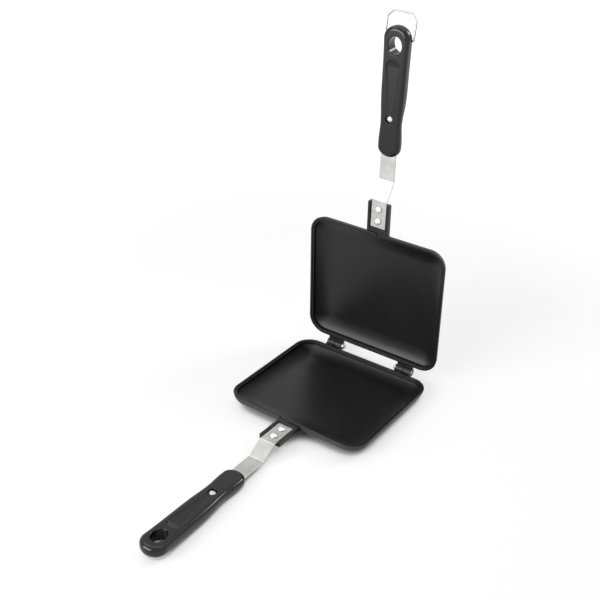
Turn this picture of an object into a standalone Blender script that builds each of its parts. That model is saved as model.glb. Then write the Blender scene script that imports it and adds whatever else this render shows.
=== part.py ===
"""A hot-sandwich toaster for a camping stove, modelled open as it stands on a table.

Two shallow cast pans, one casting used twice, turn on two short pins behind their rear walls. Each
carries a bent steel strip riveted into its bracket, with a moulded grip screwed on the strip's end.
A wire bail turns in the upper grip and locks the two grips together.

Each half is modelled in its own frame: the origin is on the hinge axis, -Y runs along the handle, Z = 0
is the plane where the rims meet, and -Z is the outer side. The upper half is the lower one turned over
about Y and then opened about X. The flat face under the lower pan is at Z = 0 of the whole part.
"""

import math

import bmesh
import bpy
from mathutils import Matrix, Vector

# Pans, one casting used for both
PAN_WIDTH = 0.147
PAN_LENGTH = 0.1327
PAN_HEIGHT = 0.0105
PAN_FLOOR = 0.0018
PAN_CORNER_RADIUS = 0.0178
PAN_SMALLEST_CORNER = 0.001
PAN_DRAFT = 0.0003
OUTER_FILLET = 0.010
INNER_FILLET = 0.036
CAVITY_SLOPE = math.radians(28.0)
WALL_FILLET = 0.0008
WALL_DRAFT = math.radians(4.0)
RIM_EDGE_RADIUS = 0.0004
RIM_LAND_WIDTH = 0.0020
RIM_WIDTH = 0.0035
RIM_LEDGE_DROP = 0.0010
RIM_LEDGE_SLOPE = 0.0002

# Hinge, cast on each pan
HINGE_OFFSET = 0.0065
HINGE_PAIR_X = 0.0404
KNUCKLE_WIDTH = 0.0084
KNUCKLE_GAP = 0.0003
KNUCKLE_RADIUS = 0.0040
HINGE_ARM_DEPTH = 0.0075
HINGE_ARM_PLAY = 0.0003
KNUCKLE_UNDERSIDE = math.radians(112.0)
STOP_LUG_THICKNESS = 0.0028
STOP_LUG_SET_BACK = 0.0006
STOP_LUG_CLEARANCE = 0.0003
OPEN_ANGLE = math.radians(87.0)

# Hinge pins
PIN_RADIUS = 0.00175
PIN_CLEARANCE = 0.0003
PIN_HEAD_RADIUS = 0.0034
PIN_HEAD_HEIGHT = 0.0030
PIN_END_BEVEL = 0.0003

# Bracket cast on the front wall, and the vent beside it
BRACKET_LENGTH = 0.0302
BRACKET_WALL = 0.0028
BRACKET_TOP_DROP = 0.0013
BRACKET_DEPTH = 0.0066
BRACKET_EDGE_BEVEL = 0.0008
BRACKET_SHELF = 0.0047
BRACKET_ROOT_OVERLAP = 0.0028
VENT_WIDTH = 0.0110
VENT_DEPTH = 0.0011

# Handle strip
STRIP_WIDTH = 0.0157
STRIP_THICKNESS = 0.0015
STRIP_SIDE_PLAY = 0.0005
STRIP_TOP_DROP = 0.0025
STRIP_FIRST_BEND = 0.0335
STRIP_SECOND_BEND = 0.0490
STRIP_OUTER_DROP = 0.0126
STRIP_BEND_RADIUS = 0.0030
STRIP_TANG_PAST_SCREW = 0.0098
STRIP_END_BEVEL = 0.0004

# How far the upper strip sits askew in its bracket, within its play
UPPER_HANDLE_SKEW = math.radians(-1.1)

# Rivets
RIVET_RADIUS = 0.0015
RIVET_HOLE_PLAY = 0.0003
RIVET_HEAD_RADIUS = 0.0034
RIVET_HEAD_HEIGHT = 0.0017
RIVET_TAIL_RADIUS = 0.0026
RIVET_TAIL_HEIGHT = 0.0009
RIVET_FRONT = 0.0236
RIVET_REAR = 0.0117
RIVET_SEAT_GAP = 0.0003

# Grip, one moulding used for both
GRIP_START = 0.0731
GRIP_LENGTH = 0.1185
GRIP_WIDTH = 0.0254
GRIP_THICKNESS = 0.0126
GRIP_TOP_DROP = 0.0092
GRIP_NEAR_END_ROUND = 0.0082
GRIP_TIP_ROUND = 0.0118
GRIP_TOP_EDGE_RADIUS = 0.0038
GRIP_OUTER_EDGE_RADIUS = 0.0058
GRIP_SLOT_PLAY = 0.0003

# Along the grip as shares of its length, with its width and thickness there as shares of the largest
GRIP_PLAN_SHARES = (
    (0.000, 0.822), (0.095, 0.872), (0.165, 0.856), (0.245, 0.805), (0.320, 0.819), (0.400, 0.871),
    (0.500, 0.912), (0.620, 0.925), (0.740, 0.938), (0.850, 0.964), (0.920, 0.994), (1.000, 1.000),
)
GRIP_SIDE_SHARES = (
    (0.000, 0.795), (0.100, 0.858), (0.180, 0.836), (0.260, 0.812), (0.330, 0.867), (0.400, 0.963),
    (0.480, 1.000), (0.640, 0.996), (0.800, 0.990), (0.920, 0.921), (1.000, 0.813),
)

# Hanging hole in the grip
HANG_HOLE_CENTRE = 0.1019
HANG_HOLE_WIDTH = 0.0130
HANG_HOLE_LENGTH = 0.0158
HANG_HOLE_CHAMFER = 0.0007

# Thumb groove in the grip
GROOVE_START = 0.0405
GROOVE_END = 0.0898
GROOVE_NARROW_WIDTH = 0.0046
GROOVE_WIDE_WIDTH = 0.0142
GROOVE_START_DEPTH = 0.0004
GROOVE_DEPTH = 0.0015
GROOVE_END_SLOPE = 0.0062
GROOVE_SIDE_SLOPE = 0.0023

# Grip screw, washer and nut
SCREW_PLACE = 0.0362
SCREW_RADIUS = 0.0018
SCREW_HEAD_RADIUS = 0.0029
SCREW_HEAD_HEIGHT = 0.0012
SCREW_RECESS_RADIUS = 0.0041
SCREW_RECESS_DEPTH = 0.0015
SCREW_HOLE_PLAY = 0.0003
SCREW_SLOT_WIDTH = 0.0007
SCREW_SLOT_DEPTH = 0.0005
SCREW_SEAT_GAP = 0.0001
SCREW_TIP_ABOVE_NUT = 0.0002
NUT_FLATS = 0.0060
NUT_THICKNESS = 0.0020
NUT_EDGE_BEVEL = 0.0003
WASHER_RADIUS = 0.0033
WASHER_THICKNESS = 0.0006
NUT_POCKET_RADIUS = 0.0040
NUT_POCKET_DEPTH = 0.0030
NUT_THREAD_CLEARANCE = 0.0002

# Wire bail
BAIL_WIRE_RADIUS = 0.0008
BAIL_WIDTH = 0.0278
BAIL_LENGTH = 0.0224
BAIL_CHAMFER = 0.0054
BAIL_BEND_RADIUS = 0.0015
BAIL_PIVOT_FROM_TIP = 0.0119
BAIL_PIVOT_DROP = 0.0165
BAIL_HOLE_PLAY = 0.0003
BAIL_HOLE_DEPTH = 0.0034
BAIL_REST_TILT = math.radians(8.0)

# How far a cutter runs past the face that it cuts
OVERRUN = 0.0020

# How finely round shapes are divided
CORNER_STEPS = 9
OUTER_FILLET_STEPS = 7
INNER_FILLET_STEPS = 7
WALL_FILLET_STEPS = 2
ROUND_SIDES = 24
SMALL_ROUND_SIDES = 16
DOME_STEPS = 4
BEND_STEPS = 4
GRIP_END_STEPS = 7
GRIP_SIDE_STATIONS = 22
GRIP_EDGE_STEPS = 4
HOLE_SIDES = 32
GROOVE_SIDE_STEPS = 6
GROOVE_END_STEPS = 8
WIRE_SIDE_RESOLUTION = 2
SHARP_ANGLE = math.radians(35.0)

# Places that follow from the sizes above
PAN_CENTRE_Y = -(HINGE_OFFSET + PAN_LENGTH / 2)
PAN_FRONT_Y = -(HINGE_OFFSET + PAN_LENGTH)
HINGE_Y = -PAN_CENTRE_Y
GRIP_NEAR_Y = PAN_FRONT_Y - GRIP_START
GRIP_TIP_Y = GRIP_NEAR_Y - GRIP_LENGTH
STRIP_REAR_Y = PAN_FRONT_Y - BRACKET_SHELF
SCREW_Y = GRIP_NEAR_Y - SCREW_PLACE
STRIP_END_Y = SCREW_Y - STRIP_TANG_PAST_SCREW
STRIP_BOTTOM_DROP = STRIP_TOP_DROP + STRIP_THICKNESS
GRIP_FACE_Z = -GRIP_TOP_DROP


def share_at(shares, place):
    """Reads a table of (place, value) shares along a smooth curve through its rows."""
    rows = [shares[0], *shares, shares[-1]]
    for before, low, high, after in zip(rows, rows[1:], rows[2:], rows[3:]):
        if place <= high[0] or after is rows[-1]:
            span = high[0] - low[0]
            t = min(max((place - low[0]) / span, 0), 1)
            slope_low = span * (high[1] - before[1]) / (high[0] - before[0])
            slope_high = span * (after[1] - low[1]) / (after[0] - low[0])
            bend = 3 * (high[1] - low[1]) - 2 * slope_low - slope_high
            twist = 2 * (low[1] - high[1]) + slope_low + slope_high
            return low[1] + t * (slope_low + t * (bend + t * twist))
    return rows[-1][1]


def arc(centre, radius, start, end, steps):
    """Points of an arc in a plane, from one angle to another."""
    points = []
    for step in range(steps + 1):
        angle = start + (end - start) * step / steps
        points.append((centre[0] + radius * math.cos(angle), centre[1] + radius * math.sin(angle)))
    return points


def rounded_path(corners, radius, steps):
    """A plane path through its corners, each inner corner turned into an arc of the radius."""
    path = [corners[0]]
    for before, corner, after in zip(corners, corners[1:], corners[2:]):
        here = Vector(corner)
        back = (Vector(before) - here).normalized()
        ahead = (Vector(after) - here).normalized()
        half = back.angle(ahead) / 2
        reach = radius / math.tan(half)
        centre = here + (back + ahead).normalized() * radius / math.sin(half)
        first = here + back * reach - centre
        last = here + ahead * reach - centre
        turn = first.angle_signed(last)
        for step in range(steps + 1):
            spoke = first.copy()
            spoke.rotate(Matrix.Rotation(-turn * step / steps, 2))
            path.append(tuple(centre + spoke))
    path.append(corners[-1])
    return path


def mesh_from_rings(name, rings, first_cap=None, last_cap=None):
    """Joins rings of equal length into a tube and closes both ends, each with one face or the given quads."""
    shape = bmesh.new()
    loops = [[shape.verts.new(point) for point in ring] for ring in rings]
    count = len(loops[0])
    for lower, upper in zip(loops, loops[1:]):
        for i in range(count):
            j = (i + 1) % count
            shape.faces.new((lower[i], lower[j], upper[j], upper[i]))
    for loop, cap in ((loops[0], first_cap), (loops[-1], last_cap)):
        for face in cap or [range(count)]:
            shape.faces.new([loop[i] for i in face])
    bmesh.ops.recalc_face_normals(shape, faces=shape.faces)
    mesh = bpy.data.meshes.new(name)
    shape.to_mesh(mesh)
    shape.free()
    return mesh


def prism(name, outline, axis, low, high):
    """Extrudes a plane outline along X, Y or Z from low to high."""
    order = {"X": lambda u, v, w: (w, u, v), "Y": lambda u, v, w: (u, w, v), "Z": lambda u, v, w: (u, v, w)}
    place = order[axis]
    return mesh_from_rings(name, [[place(u, v, w) for u, v in outline] for w in (low, high)])


def box(name, low, high):
    outline = [(low[0], low[1]), (high[0], low[1]), (high[0], high[1]), (low[0], high[1])]
    return prism(name, outline, "Z", low[2], high[2])


def turned(name, profile, axis, centre, sides):
    """Turns a profile of (radius, place along the axis) about an axis through the centre."""
    rings = []
    for radius, along in profile:
        ring = []
        for u, v in arc((0, 0), radius, 0, 2 * math.pi * (1 - 1 / sides), sides - 1):
            offset = {"X": (along, u, v), "Y": (u, along, v), "Z": (u, v, along)}[axis]
            ring.append([c + o for c, o in zip(centre, offset)])
        rings.append(ring)
    return mesh_from_rings(name, rings)


def dome(radius, height, base, steps, way=1):
    """The profile of a domed head from its rim to a small flat on its top."""
    return [
        (radius * math.cos(angle), base + way * height * math.sin(angle))
        for angle in (math.pi / 2 * step / (steps + 1) for step in range(steps + 1))
    ]


def combined(mesh, steps):
    """Unites other meshes with a mesh, or cuts them from it, one after the other."""
    target = bpy.data.objects.new(mesh.name, mesh)
    bpy.context.collection.objects.link(target)
    helpers = []
    for number, (operation, other) in enumerate(steps):
        helper = bpy.data.objects.new(f"{mesh.name}_helper_{number}", other)
        helper.hide_render = True
        helper.display_type = "WIRE"
        bpy.context.collection.objects.link(helper)
        helpers.append(helper)
        modifier = target.modifiers.new(f"step_{number}", "BOOLEAN")
        modifier.operation = operation
        modifier.solver = "EXACT"
        modifier.object = helper
    graph = bpy.context.evaluated_depsgraph_get()
    result = bpy.data.meshes.new_from_object(target.evaluated_get(graph))
    result.name = mesh.name
    for used in (target, *helpers):
        bpy.data.objects.remove(used)
    return result


def rounded_rectangle(width, length, radius, steps):
    """A rectangle round the origin with rounded corners."""
    points = []
    for number, (side, end) in enumerate(((1, 1), (-1, 1), (-1, -1), (1, -1))):
        centre = (side * (width / 2 - radius), end * (length / 2 - radius))
        start = number * math.pi / 2
        points += arc(centre, radius, start, start + math.pi / 2, steps)
    return points


def pan_section():
    """The tray's section from the flat base round the rim to the cavity's floor, as (inset, height)."""
    outer_centre = (PAN_DRAFT + OUTER_FILLET, OUTER_FILLET - PAN_HEIGHT)
    outer = arc(outer_centre, OUTER_FILLET, -math.pi / 2, -math.pi, OUTER_FILLET_STEPS)
    rim = [
        (0, -RIM_EDGE_RADIUS),
        (RIM_EDGE_RADIUS, 0),
        (RIM_LAND_WIDTH, 0),
        (RIM_LAND_WIDTH + RIM_LEDGE_SLOPE, -RIM_LEDGE_DROP),
    ]
    floor = PAN_FLOOR - PAN_HEIGHT
    quarter = math.pi / 2
    steep = quarter - WALL_DRAFT
    bend_foot = floor + INNER_FILLET * (1 - math.cos(CAVITY_SLOPE))
    bend_top = bend_foot + WALL_FILLET * (math.cos(CAVITY_SLOPE) - math.cos(steep))
    wall_foot = RIM_WIDTH - (RIM_LEDGE_DROP + bend_top) * math.tan(WALL_DRAFT)
    bend_centre = (wall_foot + WALL_FILLET * math.sin(steep), bend_top + WALL_FILLET * math.cos(steep))
    bend = arc(bend_centre, WALL_FILLET, -quarter - steep, -quarter - CAVITY_SLOPE, WALL_FILLET_STEPS)
    inner_centre = (bend[-1][0] + INNER_FILLET * math.sin(CAVITY_SLOPE), floor + INNER_FILLET)
    inner = arc(inner_centre, INNER_FILLET, -quarter - CAVITY_SLOPE, -quarter, INNER_FILLET_STEPS)
    return [*outer, *rim, (RIM_WIDTH, -RIM_LEDGE_DROP), *bend, *inner[1:]]


def pan_tray():
    rings = []
    for inset, height in pan_section():
        radius = max(PAN_CORNER_RADIUS - inset, PAN_SMALLEST_CORNER)
        plan = rounded_rectangle(PAN_WIDTH - 2 * inset, PAN_LENGTH - 2 * inset, radius, CORNER_STEPS)
        rings.append([(x, y + PAN_CENTRE_Y, height) for x, y in plan])
    return mesh_from_rings("pan_casting", rings)


def bracket_body():
    """The bracket's outer block, from inside the front wall to its free end."""
    half = STRIP_WIDTH / 2 + STRIP_SIDE_PLAY + BRACKET_WALL
    outline = [
        (-half, -BRACKET_TOP_DROP),
        (-half, -BRACKET_DEPTH + BRACKET_EDGE_BEVEL),
        (-half + BRACKET_EDGE_BEVEL, -BRACKET_DEPTH),
        (half - BRACKET_EDGE_BEVEL, -BRACKET_DEPTH),
        (half, -BRACKET_DEPTH + BRACKET_EDGE_BEVEL),
        (half, -BRACKET_TOP_DROP),
    ]
    return prism("bracket", outline, "Y", PAN_FRONT_Y - BRACKET_LENGTH, PAN_FRONT_Y + BRACKET_ROOT_OVERLAP)


def bracket_channel():
    """The channel that the strip lies in, open at the bracket's free end."""
    half = STRIP_WIDTH / 2 + STRIP_SIDE_PLAY
    return box(
        "channel",
        (-half, PAN_FRONT_Y - BRACKET_LENGTH - OVERRUN, -STRIP_BOTTOM_DROP - RIVET_SEAT_GAP),
        (half, STRIP_REAR_Y + STRIP_SIDE_PLAY, OVERRUN),
    )


def vent():
    """The steam vent through half of the rim in front of the bracket."""
    return box(
        "vent",
        (-VENT_WIDTH, PAN_FRONT_Y - BRACKET_SHELF / 2, -VENT_DEPTH),
        (0, PAN_FRONT_Y + RIM_WIDTH + OVERRUN, OVERRUN),
    )


def knuckle_starts():
    """Where a casting's two knuckles start along X: each is the right one of its pair."""
    return [side * HINGE_PAIR_X + KNUCKLE_GAP / 2 for side in (-1, 1)]


def knuckle(start):
    """A hinge knuckle with its arm to the rear wall, as one outline in Y and Z extruded along X."""
    rim = -(HINGE_OFFSET + RIM_LAND_WIDTH / 2)
    foot = -(HINGE_OFFSET + RIM_WIDTH)
    barrel = arc((0, 0), KNUCKLE_RADIUS, -KNUCKLE_UNDERSIDE, math.pi, ROUND_SIDES)
    tail = [(-KNUCKLE_RADIUS, -HINGE_ARM_PLAY), (rim, -HINGE_ARM_PLAY), (foot, -HINGE_ARM_DEPTH)]
    return prism("knuckle", barrel + tail, "X", start, start + KNUCKLE_WIDTH)


def stop_lug(start):
    """The lug on a knuckle that meets the other pan's rear wall when the toaster stands open."""
    reach = HINGE_OFFSET - STOP_LUG_CLEARANCE
    lug = box(
        "stop_lug",
        (start, -STOP_LUG_SET_BACK, 0),
        (start + KNUCKLE_WIDTH, STOP_LUG_THICKNESS, reach),
    )
    lug.transform(Matrix.Rotation(math.pi / 2 - OPEN_ANGLE, 4, "X"))
    return lug


def pin_bore(start):
    length = KNUCKLE_WIDTH + OVERRUN
    radius = PIN_RADIUS + PIN_CLEARANCE
    return turned("pin_bore", [(radius, -OVERRUN), (radius, length)], "X", (start, 0, 0), ROUND_SIDES)


def rivet_places():
    return [PAN_FRONT_Y - RIVET_FRONT, PAN_FRONT_Y - RIVET_REAR]


def rivet_hole(y):
    radius = RIVET_RADIUS + RIVET_HOLE_PLAY
    profile = [(radius, -BRACKET_DEPTH - OVERRUN), (radius, OVERRUN)]
    return turned("rivet_hole", profile, "Z", (0, y, 0), SMALL_ROUND_SIDES)


def pan_casting():
    steps = [("UNION", bracket_body())]
    for start in knuckle_starts():
        steps += [("UNION", knuckle(start)), ("UNION", stop_lug(start))]
    steps += [("DIFFERENCE", pin_bore(start)) for start in knuckle_starts()]
    steps += [("DIFFERENCE", bracket_channel()), ("DIFFERENCE", vent())]
    steps += [("DIFFERENCE", rivet_hole(y)) for y in rivet_places()]
    return combined(pan_tray(), steps)


def hinge_pin(inner_side):
    """A pin through one pair of knuckles, with its domed head on the pair's inner side."""
    length = 2 * KNUCKLE_WIDTH + KNUCKLE_GAP
    end = length / 2
    seat = -end - PIN_CLEARANCE
    profile = [(PIN_RADIUS - PIN_END_BEVEL, end), (PIN_RADIUS, end - PIN_END_BEVEL), (PIN_RADIUS, seat)]
    profile += dome(PIN_HEAD_RADIUS, PIN_HEAD_HEIGHT, seat, DOME_STEPS, -1)
    mesh = turned("hinge_pin", profile, "X", (0, 0, 0), ROUND_SIDES)
    if inner_side > 0:
        mesh.transform(Matrix.Rotation(math.pi, 4, "Z"))
    return mesh


def strip_path():
    """The strip's mating-side face in side view, from its riveted end to the end of its tang."""
    corners = [
        (STRIP_REAR_Y, -STRIP_TOP_DROP),
        (PAN_FRONT_Y - STRIP_FIRST_BEND, -STRIP_TOP_DROP),
        (PAN_FRONT_Y - STRIP_SECOND_BEND, -STRIP_OUTER_DROP),
        (STRIP_END_Y, -STRIP_OUTER_DROP),
    ]
    return corners


def handle_strip():
    """The bent strip, its section swept along its side view."""
    inner = rounded_path(strip_path(), STRIP_BEND_RADIUS, BEND_STEPS)
    rings = []
    for i, (y, z) in enumerate(inner):
        before = Vector(inner[max(i - 1, 0)])
        after = Vector(inner[min(i + 1, len(inner) - 1)])
        run = (after - before).normalized()
        down = Vector((-run.y, run.x)) * STRIP_THICKNESS
        half = STRIP_WIDTH / 2
        if i in (0, len(inner) - 1):
            half -= STRIP_END_BEVEL
        low_y, low_z = y + down.x, z + down.y
        rings.append([(-half, y, z), (half, y, z), (half, low_y, low_z), (-half, low_y, low_z)])
    shoulder_y = STRIP_REAR_Y - STRIP_END_BEVEL
    tang_y = STRIP_END_Y + STRIP_END_BEVEL
    for place, y, z in ((1, shoulder_y, -STRIP_TOP_DROP), (len(rings), tang_y, -STRIP_OUTER_DROP)):
        half = STRIP_WIDTH / 2
        low = z - STRIP_THICKNESS
        rings.insert(place, [(-half, y, z), (half, y, z), (half, y, low), (-half, y, low)])
    strip = mesh_from_rings("handle_strip", rings)
    steps = [("DIFFERENCE", rivet_hole(y)) for y in rivet_places()]
    radius = SCREW_RADIUS + SCREW_HOLE_PLAY
    depth = STRIP_OUTER_DROP + STRIP_THICKNESS + OVERRUN
    profile = [(radius, -depth), (radius, 0)]
    steps.append(("DIFFERENCE", turned("screw_hole", profile, "Z", (0, SCREW_Y, 0), SMALL_ROUND_SIDES)))
    return combined(strip, steps)


def rivet():
    """A rivet with a domed head on the strip and a lower formed head under the bracket."""
    head_seat = -STRIP_TOP_DROP + RIVET_SEAT_GAP
    tail_seat = -BRACKET_DEPTH - RIVET_SEAT_GAP
    profile = dome(RIVET_TAIL_RADIUS, RIVET_TAIL_HEIGHT, tail_seat, DOME_STEPS, -1)[::-1]
    profile += [(RIVET_RADIUS, tail_seat), (RIVET_RADIUS, head_seat)]
    profile += dome(RIVET_HEAD_RADIUS, RIVET_HEAD_HEIGHT, head_seat, DOME_STEPS)
    return turned("rivet", profile, "Z", (0, 0, 0), SMALL_ROUND_SIDES)


def grip_half_width(place):
    """Half of the grip's width at a distance from its near end."""
    half = GRIP_WIDTH / 2 * share_at(GRIP_PLAN_SHARES, place / GRIP_LENGTH)
    near = max(GRIP_NEAR_END_ROUND - place, 0) / GRIP_NEAR_END_ROUND
    tip = max(place - GRIP_LENGTH + GRIP_TIP_ROUND, 0) / GRIP_TIP_ROUND
    return half * math.sqrt(max(1 - near ** 2, 0)) * math.sqrt(max(1 - tip ** 2, 0))


def grip_stations():
    """Distances along the grip from its near end, close together where its ends round off."""
    near = [GRIP_NEAR_END_ROUND * (1 - math.cos(math.pi / 2 * i / GRIP_END_STEPS)) for i in range(GRIP_END_STEPS)]
    far = [GRIP_TIP_ROUND * (1 - math.cos(math.pi / 2 * i / GRIP_END_STEPS)) for i in range(GRIP_END_STEPS)]
    middle = GRIP_LENGTH - GRIP_NEAR_END_ROUND - GRIP_TIP_ROUND
    side = [GRIP_NEAR_END_ROUND + middle * i / GRIP_SIDE_STATIONS for i in range(GRIP_SIDE_STATIONS + 1)]
    return near + side + [GRIP_LENGTH - place for place in reversed(far)]


def grip_outline():
    """The grip's plan: its near end, its left side, its tip and its right side, as (x, distance)."""
    stations = grip_stations()
    left = [(-grip_half_width(place), place) for place in stations[1:-1]]
    right = [(-x, place) for x, place in reversed(left)]
    return [(0, 0), *left, (0, GRIP_LENGTH), *right]


def inward(outline):
    """For each point of a closed outline, the unit direction that points into it."""
    normals = []
    for i, point in enumerate(outline):
        before = Vector(outline[i - 1])
        after = Vector(outline[(i + 1) % len(outline)])
        run = (after - before).normalized()
        normals.append((run.y, -run.x))
    return normals


def grip_caps(count):
    """Faces that close the grip's top or bottom, strips across it from the left side to the right."""
    half = count // 2
    faces = [(0, 1, count - 1)]
    faces += [(i, i + 1, count - i - 1, count - i) for i in range(1, half - 1)]
    return [*faces, (half - 1, half, half + 1)]


def grip_blank():
    """The grip before its slot, holes and groove: its plan swept round a section with rounded edges."""
    outline = grip_outline()
    normals = inward(outline)
    rings = []
    edges = [
        *((GRIP_OUTER_EDGE_RADIUS * (1 - math.sin(angle)), GRIP_OUTER_EDGE_RADIUS * (1 - math.cos(angle)), True)
          for angle in (math.pi / 2 * i / GRIP_EDGE_STEPS for i in range(GRIP_EDGE_STEPS + 1))),
        *((GRIP_TOP_EDGE_RADIUS * (1 - math.cos(angle)), GRIP_TOP_EDGE_RADIUS * (1 - math.sin(angle)), False)
          for angle in (math.pi / 2 * i / GRIP_EDGE_STEPS for i in range(GRIP_EDGE_STEPS + 1))),
    ]
    for inset, from_face, outer in edges:
        ring = []
        for (x, place), (across, along) in zip(outline, normals):
            thickness = GRIP_THICKNESS * share_at(GRIP_SIDE_SHARES, place / GRIP_LENGTH)
            z = GRIP_FACE_Z - thickness + from_face if outer else GRIP_FACE_Z - from_face
            ring.append((x + inset * across, GRIP_NEAR_Y - place - inset * along, z))
        rings.append(ring)
    caps = grip_caps(len(outline))
    return mesh_from_rings("grip", rings, caps, caps)


def oval(width, length, sides):
    return [
        (width / 2 * math.cos(2 * math.pi * i / sides), length / 2 * math.sin(2 * math.pi * i / sides))
        for i in range(sides)
    ]


def grip_outer_z(place):
    """The height of the grip's outer face at a distance from its near end."""
    return GRIP_FACE_Z - GRIP_THICKNESS * share_at(GRIP_SIDE_SHARES, place / GRIP_LENGTH)


def hanging_hole():
    """The oval hole through the grip, chamfered at both faces."""
    top = GRIP_FACE_Z
    bottom = grip_outer_z(HANG_HOLE_CENTRE)
    wide = 2 * (HANG_HOLE_CHAMFER + OVERRUN)
    narrow = 0
    levels = [
        (wide, bottom - OVERRUN),
        (narrow, bottom + HANG_HOLE_CHAMFER),
        (narrow, top - HANG_HOLE_CHAMFER),
        (wide, top + OVERRUN),
    ]
    rings = []
    for growth, z in levels:
        plan = oval(HANG_HOLE_WIDTH + growth, HANG_HOLE_LENGTH + growth, HOLE_SIDES)
        rings.append([(x, GRIP_NEAR_Y - HANG_HOLE_CENTRE + y, z) for x, y in plan])
    return mesh_from_rings("hanging_hole", rings)


def groove_outline():
    """The thumb groove's plan: two straight sides that widen from the screw to a round end."""
    wide = GROOVE_WIDE_WIDTH / 2
    narrow = GROOVE_NARROW_WIDTH / 2
    run = GROOVE_END - GROOVE_START - wide
    sides = []
    for i in range(GROOVE_SIDE_STEPS):
        share = i / GROOVE_SIDE_STEPS
        sides.append((narrow + (wide - narrow) * share, GROOVE_START + run * share))
    end = arc((0, GROOVE_START + run), wide, 0, math.pi, GROOVE_END_STEPS)
    return sides + end + [(-x, place) for x, place in reversed(sides)]


def groove_depth(place):
    """How deep the groove is at a distance from the grip's near end."""
    deepest = GROOVE_END - GROOVE_END_SLOPE
    if place <= deepest:
        share = (place - GROOVE_START) / (deepest - GROOVE_START)
        return GROOVE_START_DEPTH + (GROOVE_DEPTH - GROOVE_START_DEPTH) * share
    share = (place - deepest) / GROOVE_END_SLOPE
    return GROOVE_START_DEPTH + (GROOVE_DEPTH - GROOVE_START_DEPTH) * (1 - share)


def thumb_groove():
    """The groove's cutter: sloped sides, a floor that deepens towards the tip and a sloped round end."""
    outline = groove_outline()
    count = len(outline)
    top = [(x, GRIP_NEAR_Y - place, GRIP_FACE_Z + OVERRUN) for x, place in outline]
    face = [(x, GRIP_NEAR_Y - place, GRIP_FACE_Z) for x, place in outline]
    floor = []
    for x, place in outline:
        depth = groove_depth(place)
        slope = 1 - GROOVE_SIDE_SLOPE * depth / GROOVE_DEPTH / (GROOVE_WIDE_WIDTH / 2)
        floor.append((x * slope, GRIP_NEAR_Y - place, GRIP_FACE_Z - depth))
    half = count // 2
    caps = [(i, i + 1, count - i - 2, count - i - 1) for i in range(half - 1)]
    if count % 2:
        caps.append((half - 1, half, half + 1))
    return mesh_from_rings("thumb_groove", [top, face, floor], caps, caps)


def tang_slot():
    """The slot that the strip's tang fills, open at the grip's near end."""
    half = STRIP_WIDTH / 2 + GRIP_SLOT_PLAY
    return box(
        "tang_slot",
        (-half, STRIP_END_Y - GRIP_SLOT_PLAY, -STRIP_OUTER_DROP - STRIP_THICKNESS - GRIP_SLOT_PLAY),
        (half, GRIP_NEAR_Y + OVERRUN, -STRIP_OUTER_DROP + GRIP_SLOT_PLAY),
    )


def nut_seat_z():
    """The height of the washer's seat in the pocket on the grip's outer side."""
    return grip_outer_z(SCREW_PLACE) + NUT_POCKET_DEPTH


def screw_holes():
    """The recess for the screw's head, the hole for its shank and the pocket for the nut."""
    centre = (0, SCREW_Y, 0)
    shank = SCREW_RADIUS + SCREW_HOLE_PLAY
    recess = GRIP_FACE_Z - SCREW_RECESS_DEPTH
    outer = grip_outer_z(SCREW_PLACE) - OVERRUN
    return [
        turned("head_recess", [(SCREW_RECESS_RADIUS, recess), (SCREW_RECESS_RADIUS, OVERRUN)],
               "Z", centre, ROUND_SIDES),
        turned("shank_hole", [(shank, outer), (shank, OVERRUN)], "Z", centre, SMALL_ROUND_SIDES),
        turned("nut_pocket", [(NUT_POCKET_RADIUS, outer), (NUT_POCKET_RADIUS, nut_seat_z())],
               "Z", centre, ROUND_SIDES),
    ]


def bail_pivot():
    """The bail's pivot axis in the half's frame, as (y, z)."""
    return GRIP_TIP_Y + BAIL_PIVOT_FROM_TIP, -BAIL_PIVOT_DROP


def bail_holes():
    """Blind holes in the grip's sides for the bail's ends."""
    y, z = bail_pivot()
    surface = grip_half_width(GRIP_LENGTH - BAIL_PIVOT_FROM_TIP)
    radius = BAIL_WIRE_RADIUS + BAIL_HOLE_PLAY
    holes = []
    for side in (-1, 1):
        profile = [(radius, side * (surface - BAIL_HOLE_DEPTH)), (radius, side * (surface + OVERRUN))]
        holes.append(turned("bail_hole", profile, "X", (0, y, z), SMALL_ROUND_SIDES))
    return holes


def grip(bail):
    steps = [("DIFFERENCE", cutter) for cutter in (hanging_hole(), thumb_groove(), tang_slot(), *screw_holes())]
    if bail:
        steps += [("DIFFERENCE", cutter) for cutter in bail_holes()]
    return combined(grip_blank(), steps)


def grip_screw():
    """A slotted screw whose head lies in the recess and whose shank ends in the nut."""
    seat = GRIP_FACE_Z - SCREW_RECESS_DEPTH + SCREW_SEAT_GAP
    tip = nut_seat_z() - SCREW_SEAT_GAP - WASHER_THICKNESS - NUT_THICKNESS + SCREW_TIP_ABOVE_NUT
    profile = [(SCREW_RADIUS, tip), (SCREW_RADIUS, seat)]
    profile += dome(SCREW_HEAD_RADIUS, SCREW_HEAD_HEIGHT, seat, DOME_STEPS)
    screw = turned("grip_screw", profile, "Z", (0, SCREW_Y, 0), ROUND_SIDES)
    half = SCREW_SLOT_WIDTH / 2
    slot = box(
        "slot",
        (-SCREW_HEAD_RADIUS, SCREW_Y - half, seat + SCREW_HEAD_HEIGHT - SCREW_SLOT_DEPTH),
        (SCREW_HEAD_RADIUS, SCREW_Y + half, seat + SCREW_HEAD_HEIGHT + OVERRUN),
    )
    return combined(screw, [("DIFFERENCE", slot)])


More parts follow.
